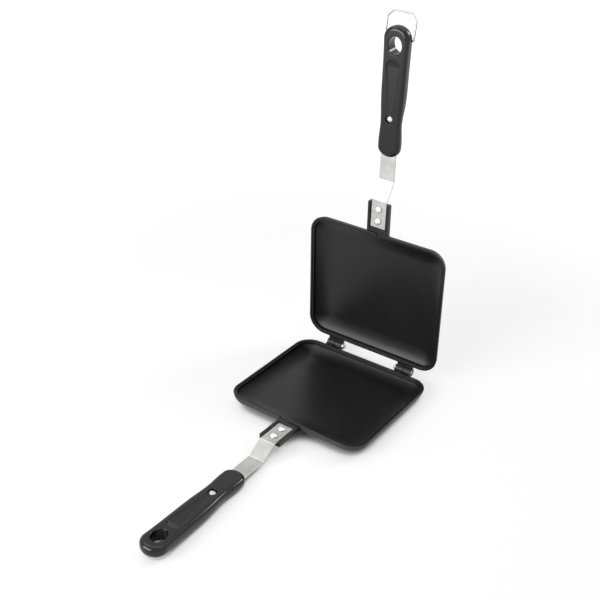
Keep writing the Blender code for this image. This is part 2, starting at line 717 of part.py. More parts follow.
def washer():
    top = nut_seat_z() - SCREW_SEAT_GAP
    centre = (0, SCREW_Y, 0)
    disc = turned("grip_washer", [(WASHER_RADIUS, top - WASHER_THICKNESS), (WASHER_RADIUS, top)],
                  "Z", centre, ROUND_SIDES)
    hole = turned("washer_hole", [(SCREW_RADIUS + SCREW_HOLE_PLAY, top - OVERRUN),
                                  (SCREW_RADIUS + SCREW_HOLE_PLAY, top + OVERRUN)],
                  "Z", centre, SMALL_ROUND_SIDES)
    return combined(disc, [("DIFFERENCE", hole)])


def nut():
    top = nut_seat_z() - 2 * SCREW_SEAT_GAP - WASHER_THICKNESS
    bottom = top - NUT_THICKNESS
    centre = (0, SCREW_Y, 0)
    corner = NUT_FLATS / 2 / math.cos(math.pi / 6)
    profile = [(corner - NUT_EDGE_BEVEL, bottom), (corner, bottom + NUT_EDGE_BEVEL),
               (corner, top - NUT_EDGE_BEVEL), (corner - NUT_EDGE_BEVEL, top)]
    body = turned("grip_nut", profile, "Z", centre, 6)
    radius = SCREW_RADIUS + NUT_THREAD_CLEARANCE
    bore = turned("nut_bore", [(radius, bottom - OVERRUN), (radius, top + OVERRUN)],
                  "Z", centre, SMALL_ROUND_SIDES)
    return combined(body, [("DIFFERENCE", bore)])


def bail_wire():
    """The bail about its own pivot: ends turned in, two legs, two chamfered corners and a bar."""
    surface = grip_half_width(GRIP_LENGTH - BAIL_PIVOT_FROM_TIP)
    end = surface - BAIL_HOLE_DEPTH + BAIL_HOLE_PLAY
    side = BAIL_WIDTH / 2
    right = [(end, 0), (side, 0), (side, -BAIL_LENGTH + BAIL_CHAMFER), (side - BAIL_CHAMFER, -BAIL_LENGTH)]
    corners = right + [(-x, y) for x, y in reversed(right)]
    curve = bpy.data.curves.new("bail_wire", "CURVE")
    curve.dimensions = "3D"
    curve.bevel_depth = BAIL_WIRE_RADIUS
    curve.bevel_resolution = WIRE_SIDE_RESOLUTION
    curve.use_fill_caps = True
    path = rounded_path(corners, BAIL_BEND_RADIUS, BEND_STEPS)
    spline = curve.splines.new("POLY")
    spline.points.add(len(path) - 1)
    for point, (x, y) in zip(spline.points, path):
        point.co = (x, y, 0, 1)
    return curve


def material(name, colour, roughness, metallic):
    made = bpy.data.materials.new(name)
    made.use_nodes = True
    shader = made.node_tree.nodes["Principled BSDF"]
    shader.inputs["Base Color"].default_value = (*colour, 1)
    shader.inputs["Roughness"].default_value = roughness
    shader.inputs["Metallic"].default_value = metallic
    return made


def frame(name, parent=None, place=(0, 0, 0), turn=(0, 0, 0)):
    """An empty that carries pieces."""
    empty = bpy.data.objects.new(name, None)
    empty.parent = parent
    empty.location = place
    empty.rotation_euler = turn
    bpy.context.collection.objects.link(empty)
    return empty


def piece(name, data, finish, carrier, place=(0, 0, 0)):
    """A named piece that rides on an empty."""
    made = bpy.data.objects.new(name, data)
    if not data.materials:
        data.materials.append(finish)
    if made.type == "MESH":
        data.shade_smooth()
        data.set_sharp_from_angle(angle=SHARP_ANGLE)
    made.parent = carrier
    made.location = place
    bpy.context.collection.objects.link(made)
    return made


def build():
    for leftover in list(bpy.data.objects):
        bpy.data.objects.remove(leftover)

    coating = material("nonstick_casting", (0.025, 0.025, 0.027), 0.55, 0.35)
    steel = material("strip_steel", (0.62, 0.61, 0.59), 0.32, 1.0)
    rivet_steel = material("rivet_steel", (0.72, 0.71, 0.69), 0.25, 1.0)
    phenolic = material("grip_phenolic", (0.010, 0.010, 0.011), 0.18, 0.0)
    plating = material("bright_plating", (0.75, 0.75, 0.76), 0.12, 1.0)

    lower = frame("lower_half", None, (0, HINGE_Y, PAN_HEIGHT))
    lid_hinge = frame("lid_hinge", lower, (0, 0, 0), (-OPEN_ANGLE, 0, 0))
    upper = frame("upper_half", lid_hinge, (0, 0, 0), (0, math.pi, 0))
    handle_y = sum(rivet_places()) / 2
    lower_handle = frame("lower_handle", lower, (0, handle_y, 0))
    upper_handle = frame("upper_handle", upper, (0, handle_y, 0), (0, 0, UPPER_HANDLE_SKEW))
    pivot_y, pivot_z = bail_pivot()
    bail_hinge = frame("bail_hinge", upper_handle, (0, pivot_y - handle_y, pivot_z), (BAIL_REST_TILT, 0, 0))

    casting = pan_casting()
    strip = handle_strip()
    rivet_mesh = rivet()
    screw = grip_screw()
    washer_mesh = washer()
    nut_mesh = nut()
    back = (0, -handle_y, 0)
    for half, carrier, handle in (("lower", lower, lower_handle), ("upper", upper, upper_handle)):
        piece(f"{half}_pan", casting, coating, carrier)
        for end, y in zip(("front", "rear"), rivet_places()):
            piece(f"{half}_{end}_rivet", rivet_mesh, rivet_steel, carrier, (0, y, 0))
        piece(f"{half}_handle_strip", strip, steel, handle, back)
        piece(f"{half}_grip", grip(half == "upper"), phenolic, handle, back)
        piece(f"{half}_grip_screw", screw, plating, handle, back)
        piece(f"{half}_grip_washer", washer_mesh, plating, handle, back)
        piece(f"{half}_grip_nut", nut_mesh, plating, handle, back)
    for side, way in (("left", -1), ("right", 1)):
        piece(f"hinge_pin_{side}", hinge_pin(-way), plating, lower, (way * HINGE_PAIR_X, 0, 0))
    piece("bail_wire", bail_wire(), plating, bail_hinge)


build()
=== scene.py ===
"""The looks of a hot-sandwich toaster for a camping stove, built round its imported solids.

Every piece is made again as a finer shape from its solid's sizes, with softened edges and a procedural
finish. Two sizes differ from the solids: the thumb groove's walls are steeper, and the rim's outer edge
is 0.1 mm rounder. Each half is modelled in its own frame: the origin is on the hinge axis, -Y runs along
the handle, Z = 0 is the plane where the rims meet, and -Z is the outer side.
"""

import math

import bmesh
import bpy
from mathutils import Euler, Matrix, Vector


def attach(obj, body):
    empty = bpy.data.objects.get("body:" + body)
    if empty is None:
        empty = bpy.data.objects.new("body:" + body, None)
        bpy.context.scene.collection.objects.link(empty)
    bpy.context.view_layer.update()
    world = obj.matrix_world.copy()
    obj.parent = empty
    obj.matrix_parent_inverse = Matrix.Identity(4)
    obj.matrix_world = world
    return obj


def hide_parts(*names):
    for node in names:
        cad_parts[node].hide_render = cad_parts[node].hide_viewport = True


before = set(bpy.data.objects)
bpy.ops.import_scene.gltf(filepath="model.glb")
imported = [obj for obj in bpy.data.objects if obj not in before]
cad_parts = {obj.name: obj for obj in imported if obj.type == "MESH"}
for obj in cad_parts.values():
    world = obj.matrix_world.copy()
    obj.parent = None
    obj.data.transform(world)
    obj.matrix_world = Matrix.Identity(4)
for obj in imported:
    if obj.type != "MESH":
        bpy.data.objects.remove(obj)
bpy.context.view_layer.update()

# Pans
PAN_WIDTH = 0.147
PAN_LENGTH = 0.1327
PAN_HEIGHT = 0.0105
PAN_FLOOR = 0.0018
PAN_CORNER_RADIUS = 0.0178
PAN_SMALLEST_CORNER = 0.001
PAN_DRAFT = 0.0003
OUTER_FILLET = 0.010
INNER_FILLET = 0.036
CAVITY_SLOPE = math.radians(28.0)
WALL_FILLET = 0.0008
WALL_DRAFT = math.radians(4.0)
RIM_EDGE_RADIUS = 0.0005
RIM_LAND_WIDTH = 0.0020
RIM_WIDTH = 0.0035
RIM_LEDGE_DROP = 0.0010
RIM_SOFTENING = 0.0003

# Hinge
HINGE_OFFSET = 0.0065
HINGE_PAIR_X = 0.0404
KNUCKLE_WIDTH = 0.0084
KNUCKLE_GAP = 0.0003
KNUCKLE_RADIUS = 0.0040
HINGE_ARM_DEPTH = 0.0075
HINGE_ARM_PLAY = 0.0003
KNUCKLE_UNDERSIDE = math.radians(112.0)
STOP_LUG_THICKNESS = 0.0028
STOP_LUG_SET_BACK = 0.0006
STOP_LUG_CLEARANCE = 0.0003
OPEN_ANGLE = math.radians(87.0)
PIN_RADIUS = 0.00175
PIN_CLEARANCE = 0.0003
PIN_HEAD_RADIUS = 0.0034
PIN_HEAD_HEIGHT = 0.0030
PIN_END_BEVEL = 0.0003

# Bracket and vent
BRACKET_LENGTH = 0.0302
BRACKET_WALL = 0.0028
BRACKET_TOP_DROP = 0.0013
BRACKET_DEPTH = 0.0066
BRACKET_SHELF = 0.0047
BRACKET_ROOT_OVERLAP = 0.0028
VENT_WIDTH = 0.0110
VENT_DEPTH = 0.0011
CAST_EDGE_SOFTENING = 0.00045

# Handle strip
STRIP_WIDTH = 0.0157
STRIP_THICKNESS = 0.0015
STRIP_SIDE_PLAY = 0.0005
STRIP_TOP_DROP = 0.0025
STRIP_FIRST_BEND = 0.0335
STRIP_SECOND_BEND = 0.0490
STRIP_OUTER_DROP = 0.0126
STRIP_BEND_RADIUS = 0.0030
STRIP_TANG_PAST_SCREW = 0.0098
STRIP_EDGE_SOFTENING = 0.00025
UPPER_HANDLE_SKEW = math.radians(-1.1)

# Rivets
RIVET_RADIUS = 0.0015
RIVET_HOLE_PLAY = 0.0003
RIVET_HEAD_RADIUS = 0.0034
RIVET_HEAD_HEIGHT = 0.0017
RIVET_TAIL_RADIUS = 0.0026
RIVET_TAIL_HEIGHT = 0.0009
RIVET_FRONT = 0.0236
RIVET_REAR = 0.0117
RIVET_SEAT_GAP = 0.0003

# Grips
GRIP_START = 0.0731
GRIP_LENGTH = 0.1185
GRIP_WIDTH = 0.0254
GRIP_THICKNESS = 0.0126
GRIP_TOP_DROP = 0.0092
GRIP_NEAR_END_ROUND = 0.0082
GRIP_TIP_ROUND = 0.0118
GRIP_TOP_EDGE_RADIUS = 0.0038
GRIP_OUTER_EDGE_RADIUS = 0.0058
GRIP_SLOT_PLAY = 0.0003
GRIP_PLAN_SHARES = (
    (0.000, 0.822), (0.095, 0.872), (0.165, 0.856), (0.245, 0.805), (0.320, 0.819), (0.400, 0.871),
    (0.500, 0.912), (0.620, 0.925), (0.740, 0.938), (0.850, 0.964), (0.920, 0.994), (1.000, 1.000),
)
GRIP_SIDE_SHARES = (
    (0.000, 0.795), (0.100, 0.858), (0.180, 0.836), (0.260, 0.812), (0.330, 0.867), (0.400, 0.963),
    (0.480, 1.000), (0.640, 0.996), (0.800, 0.990), (0.920, 0.921), (1.000, 0.813),
)
HANG_HOLE_CENTRE = 0.1019
HANG_HOLE_WIDTH = 0.0130
HANG_HOLE_LENGTH = 0.0158
HANG_HOLE_EDGE_RADIUS = 0.0009
GROOVE_START = 0.0405
GROOVE_END = 0.0898
GROOVE_NARROW_WIDTH = 0.0046
GROOVE_WIDE_WIDTH = 0.0142
GROOVE_START_DEPTH = 0.0004
GROOVE_DEPTH = 0.0015
GROOVE_END_SLOPE = 0.0062
GROOVE_SIDE_SLOPE = 0.00175
GROOVE_EDGE_RADIUS = 0.0006
GROOVE_FOOT_RADIUS = 0.0009
GROOVE_LEAD_IN = math.radians(8.0)
GROOVE_STEEPER_FROM = 0.0740
GROOVE_STEEPER_SHARE = 0.6

# Grip screw, washer and nut
SCREW_PLACE = 0.0362
SCREW_RADIUS = 0.0018
SCREW_HEAD_RADIUS = 0.0029
SCREW_HEAD_HEIGHT = 0.0012
SCREW_RECESS_RADIUS = 0.0041
SCREW_RECESS_DEPTH = 0.0015
SCREW_RECESS_EDGE_RADIUS = 0.0005
SCREW_HOLE_PLAY = 0.0003
SCREW_SLOT_WIDTH = 0.0007
SCREW_SLOT_DEPTH = 0.0005
SCREW_SEAT_GAP = 0.0001
SCREW_TIP_ABOVE_NUT = 0.0002
NUT_FLATS = 0.0060
NUT_THICKNESS = 0.0020
NUT_EDGE_BEVEL = 0.0003
WASHER_RADIUS = 0.0033
WASHER_THICKNESS = 0.0006
WASHER_EDGE_BEVEL = 0.00012
NUT_POCKET_RADIUS = 0.0040
NUT_POCKET_DEPTH = 0.0030
NUT_THREAD_CLEARANCE = 0.0002

# Wire bail
BAIL_WIRE_RADIUS = 0.0008
BAIL_WIDTH = 0.0278
BAIL_LENGTH = 0.0224
BAIL_CHAMFER = 0.0054
BAIL_BEND_RADIUS = 0.0015
BAIL_PIVOT_FROM_TIP = 0.0119
BAIL_PIVOT_DROP = 0.0165
BAIL_HOLE_PLAY = 0.0003
BAIL_HOLE_DEPTH = 0.0034
BAIL_REST_TILT = math.radians(8.0)

# How far cutters reach past a face, and how finely curves are divided
OVERRUN = 0.0020
SHARP_ANGLE = math.radians(32.0)
ROUND_SIDES = 48
SMALL_ROUND_SIDES = 24
NUT_SIDES = 6
WIRE_SIDES = 16
HANG_HOLE_SIDES = 64
FLOOR_SIDES = 96
OUTER_FILLET_STEPS = 20
INNER_FILLET_STEPS = 24
WALL_FILLET_STEPS = 8
RIM_EDGE_STEPS = 5
RIM_SOFT_STEPS = 4
PAN_CORNER_STEPS = 24
KNUCKLE_STEPS = 40
PIN_HEAD_STEPS = 10
STRIP_BEND_STEPS = 10
RIVET_HEAD_STEPS = 12
RIVET_TAIL_STEPS = 8
GRIP_END_STEPS = 16
GRIP_SIDE_STEPS = 70
GRIP_OUTER_EDGE_STEPS = 12
GRIP_TOP_EDGE_STEPS = 8
HANG_HOLE_MOUTH_STEPS = 6
ROUND_MOUTH_STEPS = 5
MOUTH_ARC_SHARE = 0.86
GROOVE_START_STEPS = 8
GROOVE_END_STEPS = 24
GROOVE_SIDE_STEPS = 40
GROOVE_LIP_STEPS = 4
GROOVE_FOOT_STEPS = 5
SCREW_HEAD_STEPS = 10
BAIL_BEND_STEPS = 8

# Finishes: colours and roughness from low to high, noise as (scale, detail), bumps as (strength, distance)
NOISE_MIDDLE = (0.3, 0.7)
METAL_IOR = 1.5
COATING_IOR = 1.38
COATING_COLOURS = ((0.0035, 0.0035, 0.0036), (0.0085, 0.0085, 0.0087))
COATING_ROUGHNESS = (0.30, 0.36)
COATING_MOTTLE = (260, 3)
COATING_SHEEN = (45, 2)
COATING_FLECKS = (1500, 1)
COATING_FLECK_RANGE = (0.60, 0.74)
COATING_FLECK_COLOUR = (0.022, 0.022, 0.023)
COATING_FLECK_BUMP = (0.12, 0.00003)
COATING_PEEL = (900, 2)
COATING_PEEL_BUMP = (0.25, 0.00006)
ENAMEL_IOR = 1.5
ENAMEL_COLOURS = ((0.022, 0.022, 0.0227), (0.038, 0.038, 0.039))
ENAMEL_ROUGHNESS = (0.56, 0.60)
ENAMEL_MOTTLE = (320, 3)
ENAMEL_SHEEN = (60, 2)
ENAMEL_CAST = (520, 3)
ENAMEL_CAST_BUMP = (0.3, 0.00008)
STRIP_COLOURS = ((0.41, 0.408, 0.406), (0.56, 0.557, 0.554))
STRIP_ROUGHNESS = (0.32, 0.42)
STRIP_GRAIN = (420, 4)
STRIP_GRAIN_STRETCH = (14.0, 0.5, 14.0)
STRIP_GRAIN_BUMP = (0.15, 0.00003)
STRIP_CLOUD = (70, 3)
STRIP_SHADE_RANGE = (0.15, 0.38)
PHENOLIC_IOR = 1.45
PHENOLIC_COLOURS = ((0.0012, 0.0012, 0.0013), (0.0026, 0.0026, 0.0027))
PHENOLIC_ROUGHNESS = (0.07, 0.17)
PHENOLIC_CLOUD = (160, 3)
PHENOLIC_SCRATCHES = (700, 3)
PHENOLIC_SCRATCH_STRETCH = (6.0, 0.35, 6.0)
PHENOLIC_SCRATCH_RANGE = (0.45, 0.75)
PHENOLIC_RIPPLE = (90, 1)
PHENOLIC_RIPPLE_BUMP = (0.2, 0.00012)
BRIGHT_CLOUD = (600, 3)
BRIGHT_CLOUD_BUMP = (0.1, 0.00003)
BRIGHT_DARKER_SHARE = 0.82
RIVET_COLOUR = (0.86, 0.856, 0.85)
RIVET_ROUGHNESS = (0.40, 0.50)
PLATING_COLOUR = (0.56, 0.56, 0.57)
PLATING_ROUGHNESS = (0.26, 0.36)
WIRE_COLOUR = (0.36, 0.36, 0.37)
WIRE_ROUGHNESS = (0.14, 0.24)

# Stage
FLOOR_RADIUS = 40.0
FLOOR_GAP = 0.0001
FLOOR_COLOUR = 0.46
FLOOR_GLOW = 0.60
FAR_FLOOR = (0.30, 1.10)
FAR_FLOOR_GLOW = 0.95
# Painted shade in deep gaps under the object: how far the floor's occlusion reaches, and the openness over
# which its glow comes back
PAINTED_GAP_SHADE_REACH = 0.020
PAINTED_GAP_SHADE_OPENNESS = (0.22, 0.50)
RESTING_PIECES = ("lower_pan", "lower_grip", "lower_handle_strip")
ROOM_LEVEL = 0.06
CEILING_FADE = (0.60, 1.00)
CEILING_LEVEL = 0.30
BACK_WALL_TOWARDS = Vector((-0.52, 0.74, 0.42))
BACK_WALL_ANGLES = (math.radians(27.0), math.radians(14.0))
BACK_WALL_LEVEL = 0.50

# Lamps as name, direction from the object, distance, width, height and radiance
LIT_CENTRE = Vector((0, 0, 0.10))
LAMPS = (
    ("key_softbox", (-0.30, -0.86, 0.28), 1.3, 1.05, 0.84, 5.8),
    ("side_softbox", (-0.48, 0.0, 0.86), 1.3, 0.72, 0.72, 1.5),
    ("rim_softbox", (0.44, 0.66, 0.58), 1.3, 0.46, 0.46, 8.0),
    ("top_softbox", (0.10, 0.05, 1.0), 1.3, 0.80, 0.80, 1.3),
)

# Camera, fitted to the outlines of both pans in the photograph
CAMERA_PLACE = (0.407779, -0.665690, 0.538406)
CAMERA_TURN = (math.radians(60.3182), math.radians(-2.0320), math.radians(35.0908))
CAMERA_LENS = 59.01
CAMERA_SENSOR_WIDTH = 36
CAMERA_SHIFT = (0.00352, 0.01813)

# Places that follow from the sizes
PAN_CENTRE_Y = -(HINGE_OFFSET + PAN_LENGTH / 2)
PAN_FRONT_Y = -(HINGE_OFFSET + PAN_LENGTH)
HINGE_Y = -PAN_CENTRE_Y
GRIP_NEAR_Y = PAN_FRONT_Y - GRIP_START
GRIP_TIP_Y = GRIP_NEAR_Y - GRIP_LENGTH
GRIP_FACE_Z = -GRIP_TOP_DROP
SCREW_Y = GRIP_NEAR_Y - SCREW_PLACE
STRIP_REAR_Y = PAN_FRONT_Y - BRACKET_SHELF
STRIP_END_Y = SCREW_Y - STRIP_TANG_PAST_SCREW
STRIP_BOTTOM_DROP = STRIP_TOP_DROP + STRIP_THICKNESS
RIVET_PLACES = (PAN_FRONT_Y - RIVET_FRONT, PAN_FRONT_Y - RIVET_REAR)
HANDLE_Y = sum(RIVET_PLACES) / 2
BAIL_PIVOT = Vector((0, GRIP_TIP_Y + BAIL_PIVOT_FROM_TIP, -BAIL_PIVOT_DROP))

# Frames of the two halves, their handles and the bail
LOWER = Matrix.Translation((0, HINGE_Y, PAN_HEIGHT))
UPPER = LOWER @ Matrix.Rotation(-OPEN_ANGLE, 4, "X") @ Matrix.Rotation(math.pi, 4, "Y")
SKEW = (
    Matrix.Translation((0, HANDLE_Y, 0))
    @ Matrix.Rotation(UPPER_HANDLE_SKEW, 4, "Z")
    @ Matrix.Translation((0, -HANDLE_Y, 0))
)
UPPER_HANDLE = UPPER @ SKEW
BAIL_FRAME = UPPER_HANDLE @ Matrix.Translation(BAIL_PIVOT) @ Matrix.Rotation(BAIL_REST_TILT, 4, "X")


def share_at(shares, place):
    """Reads a table of (place, value) shares along a smooth curve through its rows."""
    rows = [shares[0], *shares, shares[-1]]
    for before, low, high, after in zip(rows, rows[1:], rows[2:], rows[3:]):
        if place <= high[0] or after is rows[-1]:
            span = high[0] - low[0]
            t = min(max((place - low[0]) / span, 0), 1)
            slope_low = span * (high[1] - before[1]) / (high[0] - before[0])
            slope_high = span * (after[1] - low[1]) / (after[0] - low[0])
            bend = 3 * (high[1] - low[1]) - 2 * slope_low - slope_high
            twist = 2 * (low[1] - high[1]) + slope_low + slope_high
            return low[1] + t * (slope_low + t * (bend + t * twist))
    return rows[-1][1]


def arc(centre, radius, start, end, steps):
    points = []
    for step in range(steps + 1):
        angle = start + (end - start) * step / steps
        points.append((centre[0] + radius * math.cos(angle), centre[1] + radius * math.sin(angle)))
    return points


def circle(radius, sides):
    return arc((0, 0), radius, 0, 2 * math.pi * (1 - 1 / sides), sides - 1)


def rounded_path(corners, radius, steps):
    """A plane path through its corners, each inner corner turned into an arc of the radius."""
    path = [corners[0]]
    for before, corner, after in zip(corners, corners[1:], corners[2:]):
        here = Vector(corner)
        back = (Vector(before) - here).normalized()
        ahead = (Vector(after) - here).normalized()
        half = back.angle(ahead) / 2
        reach = radius / math.tan(half)
        centre = here + (back + ahead).normalized() * radius / math.sin(half)
        first = here + back * reach - centre
        last = here + ahead * reach - centre
        turn = first.angle_signed(last)
        for step in range(steps + 1):
            spoke = first.copy()
            spoke.rotate(Matrix.Rotation(-turn * step / steps, 2))
            path.append(tuple(centre + spoke))
    path.append(corners[-1])
    return path


def mesh_from_rings(name, rings, first_cap=None, last_cap=None, finish_of_ring=None):
    """Joins rings of equal length into a tube and closes both ends."""
    shape = bmesh.new()
    loops = [[shape.verts.new(point) for point in ring] for ring in rings]
    count = len(loops[0])
    for number, (lower, upper) in enumerate(zip(loops, loops[1:])):
        for i in range(count):
            j = (i + 1) % count
            face = shape.faces.new((lower[i], lower[j], upper[j], upper[i]))
            if finish_of_ring:
                face.material_index = finish_of_ring(number)
    for loop, cap, number in ((loops[0], first_cap, 0), (loops[-1], last_cap, len(loops) - 1)):
        for corners in cap or [range(count)]:
            face = shape.faces.new([loop[i] for i in corners])
            if finish_of_ring:
                face.material_index = finish_of_ring(number)
    bmesh.ops.recalc_face_normals(shape, faces=shape.faces)
    mesh = bpy.data.meshes.new(name)
    shape.to_mesh(mesh)
    shape.free()
    return mesh


def prism(name, outline, axis, low, high):
    order = {"X": lambda u, v, w: (w, u, v), "Y": lambda u, v, w: (u, w, v), "Z": lambda u, v, w: (u, v, w)}
    place = order[axis]
    return mesh_from_rings(name, [[place(u, v, w) for u, v in outline] for w in (low, high)])


def box(name, low, high):
    outline = [(low[0], low[1]), (high[0], low[1]), (high[0], high[1]), (low[0], high[1])]
    return prism(name, outline, "Z", low[2], high[2])


def turned(name, profile, axis, centre, sides=ROUND_SIDES):
    """Turns a profile of (radius, place along the axis) about an axis through the centre."""
    rings = []
    for radius, along in profile:
        ring = []
        for u, v in circle(radius, sides):
            offset = {"X": (along, u, v), "Y": (u, along, v), "Z": (u, v, along)}[axis]
            ring.append([c + o for c, o in zip(centre, offset)])
        rings.append(ring)
    return mesh_from_rings(name, rings)


def dome(radius, height, base, steps, way=1):
    """A dome's profile as (radius, place along the axis), from its rim almost to its top."""
    return [
        (radius * math.cos(angle), base + way * height * math.sin(angle))
        for angle in (math.pi / 2 * step / (steps + 1) for step in range(steps + 1))
    ]


def combined(mesh, steps):
    """Unites other meshes with a mesh, or cuts them from it, one after the other."""
    target = bpy.data.objects.new(mesh.name, mesh)
    bpy.context.collection.objects.link(target)
    helpers = []
    for number, (operation, other) in enumerate(steps):
        helper = bpy.data.objects.new(f"{mesh.name}_helper_{number}", other)
        bpy.context.collection.objects.link(helper)
        helpers.append(helper)
        modifier = target.modifiers.new(f"step_{number}", "BOOLEAN")
        modifier.operation = operation
        modifier.solver = "EXACT"
        modifier.object = helper
    graph = bpy.context.evaluated_depsgraph_get()
    result = bpy.data.meshes.new_from_object(target.evaluated_get(graph))
    result.name = mesh.name
    for used in (target, *helpers):
        bpy.data.objects.remove(used)
    return result


def softened(mesh, width, segments=3):
    """Rounds every edge of a mesh that turns sharply."""
    shape = bmesh.new()
    shape.from_mesh(mesh)
    bmesh.ops.remove_doubles(shape, verts=shape.verts, dist=0.00001)
    sharp = [edge for edge in shape.edges if edge.calc_face_angle(0) > SHARP_ANGLE]
    bmesh.ops.bevel(
        shape, geom=sharp, offset=width, segments=segments, affect="EDGES", profile=0.5, clamp_overlap=True
    )
    shape.to_mesh(mesh)
    shape.free()
    return mesh


def rounded_rectangle(width, length, radius, steps):
    points = []
    for number, (side, end) in enumerate(((1, 1), (-1, 1), (-1, -1), (1, -1))):
        centre = (side * (width / 2 - radius), end * (length / 2 - radius))
        start = number * math.pi / 2
        points += arc(centre, radius, start, start + math.pi / 2, steps)
    return points


def pan_section():
    """The tray's section from the flat base round the rim to the cavity's floor, as (inset, height)."""
    quarter = math.pi / 2
    outer_centre = (PAN_DRAFT + OUTER_FILLET, OUTER_FILLET - PAN_HEIGHT)
    outer = [(outer_centre[0] + RIM_WIDTH, -PAN_HEIGHT)]
    outer += arc(outer_centre, OUTER_FILLET, -quarter, -2 * quarter, OUTER_FILLET_STEPS)
    edge_centre = (RIM_EDGE_RADIUS, -RIM_EDGE_RADIUS)
    edge = arc(edge_centre, RIM_EDGE_RADIUS, 2 * quarter, quarter, RIM_EDGE_STEPS)
    soft = RIM_SOFTENING
    land = arc((RIM_LAND_WIDTH - soft, -soft), soft, quarter, 0, RIM_SOFT_STEPS)
    ledge_centre = (RIM_LAND_WIDTH + soft, -RIM_LEDGE_DROP + soft)
    ledge = arc(ledge_centre, soft, -2 * quarter, -quarter, RIM_SOFT_STEPS)
    floor = PAN_FLOOR - PAN_HEIGHT
    steep = quarter - WALL_DRAFT
    lip_centre = (RIM_WIDTH - soft * math.tan(steep / 2), -RIM_LEDGE_DROP - soft)
    lip = arc(lip_centre, soft, quarter, quarter - steep, RIM_SOFT_STEPS)
    bend_foot = floor + INNER_FILLET * (1 - math.cos(CAVITY_SLOPE))
    bend_top = bend_foot + WALL_FILLET * (math.cos(CAVITY_SLOPE) - math.cos(steep))
    wall_foot = RIM_WIDTH - (RIM_LEDGE_DROP + bend_top) * math.tan(WALL_DRAFT)
    bend_centre = (wall_foot + WALL_FILLET * math.sin(steep), bend_top + WALL_FILLET * math.cos(steep))
    slope_angle = -quarter - CAVITY_SLOPE
    bend = arc(bend_centre, WALL_FILLET, -quarter - steep, slope_angle, WALL_FILLET_STEPS)
    centre = (bend[-1][0] + INNER_FILLET * math.sin(CAVITY_SLOPE), floor + INNER_FILLET)
    inner = bend + arc(centre, INNER_FILLET, slope_angle, -quarter, INNER_FILLET_STEPS)[1:]
    inner.append((centre[0] + RIM_WIDTH, floor))
    return outer, edge + land + ledge + lip, inner


def pan_tray():
    """The plain tray: its outside has the second finish, its rim and cavity the first."""
    outer, rim, inner = pan_section()
    rings = []
    for inset, height in outer + rim + inner:
        radius = max(PAN_CORNER_RADIUS - inset, PAN_SMALLEST_CORNER)
        width, length = PAN_WIDTH - 2 * inset, PAN_LENGTH - 2 * inset
        plan = rounded_rectangle(width, length, radius, PAN_CORNER_STEPS)
        rings.append([(x, y + PAN_CENTRE_Y, height) for x, y in plan])
    outside = range(len(outer))
    return mesh_from_rings("pan_casting", rings, finish_of_ring=lambda ring: int(ring in outside))


def bracket():
    """The bracket with its channel, its edges rounded as cast."""
    half = STRIP_WIDTH / 2 + STRIP_SIDE_PLAY
    block = box(
        "bracket",
        (-half - BRACKET_WALL, PAN_FRONT_Y - BRACKET_LENGTH, -BRACKET_DEPTH),
        (half + BRACKET_WALL, PAN_FRONT_Y + BRACKET_ROOT_OVERLAP, -BRACKET_TOP_DROP),
    )
    channel = box(
        "channel",
        (-half, PAN_FRONT_Y - BRACKET_LENGTH - OVERRUN, -STRIP_BOTTOM_DROP - RIVET_SEAT_GAP),
        (half, STRIP_REAR_Y + STRIP_SIDE_PLAY, OVERRUN),
    )
    return softened(combined(block, [("DIFFERENCE", channel)]), CAST_EDGE_SOFTENING)


def vent():
    return box(
        "vent",
        (-VENT_WIDTH, PAN_FRONT_Y - BRACKET_SHELF / 2, -VENT_DEPTH),
        (0, PAN_FRONT_Y + RIM_WIDTH + OVERRUN, OVERRUN),
    )


def knuckle(start):
    """A hinge knuckle with its arm to the rear wall."""
    rim = -(HINGE_OFFSET + RIM_LAND_WIDTH / 2)
    foot = -(HINGE_OFFSET + RIM_WIDTH)
    barrel = arc((0, 0), KNUCKLE_RADIUS, -KNUCKLE_UNDERSIDE, math.pi, KNUCKLE_STEPS)
    tail = [(-KNUCKLE_RADIUS, -HINGE_ARM_PLAY), (rim, -HINGE_ARM_PLAY), (foot, -HINGE_ARM_DEPTH)]
    return softened(prism("knuckle", barrel + tail, "X", start, start + KNUCKLE_WIDTH), CAST_EDGE_SOFTENING)


def stop_lug(start):
    reach = HINGE_OFFSET - STOP_LUG_CLEARANCE
    lug = box(
        "stop_lug",
        (start, -STOP_LUG_SET_BACK, 0),
        (start + KNUCKLE_WIDTH, STOP_LUG_THICKNESS, reach),
    )
    lug = softened(lug, CAST_EDGE_SOFTENING)
    lug.transform(Matrix.Rotation(math.pi / 2 - OPEN_ANGLE, 4, "X"))
    return lug


def pan_casting(finishes):
    """The casting: the tray's outside in the second finish, and all the rest in the first."""
    tray = pan_tray()
    for made in finishes:
        tray.materials.append(made)
    starts = [side * HINGE_PAIR_X + KNUCKLE_GAP / 2 for side in (-1, 1)]
    steps = [("UNION", bracket())]
    for start in starts:
        steps += [("UNION", knuckle(start)), ("UNION", stop_lug(start))]
    bore = PIN_RADIUS + PIN_CLEARANCE
    for start in starts:
        profile = [(bore, -OVERRUN), (bore, KNUCKLE_WIDTH + OVERRUN)]
        steps.append(("DIFFERENCE", turned("pin_bore", profile, "X", (start, 0, 0))))
    steps.append(("DIFFERENCE", vent()))
    hole = RIVET_RADIUS + RIVET_HOLE_PLAY
    for y in RIVET_PLACES:
        profile = [(hole, -BRACKET_DEPTH - OVERRUN), (hole, OVERRUN)]
        steps.append(("DIFFERENCE", turned("rivet_hole", profile, "Z", (0, y, 0), SMALL_ROUND_SIDES)))
    return combined(tray, steps)


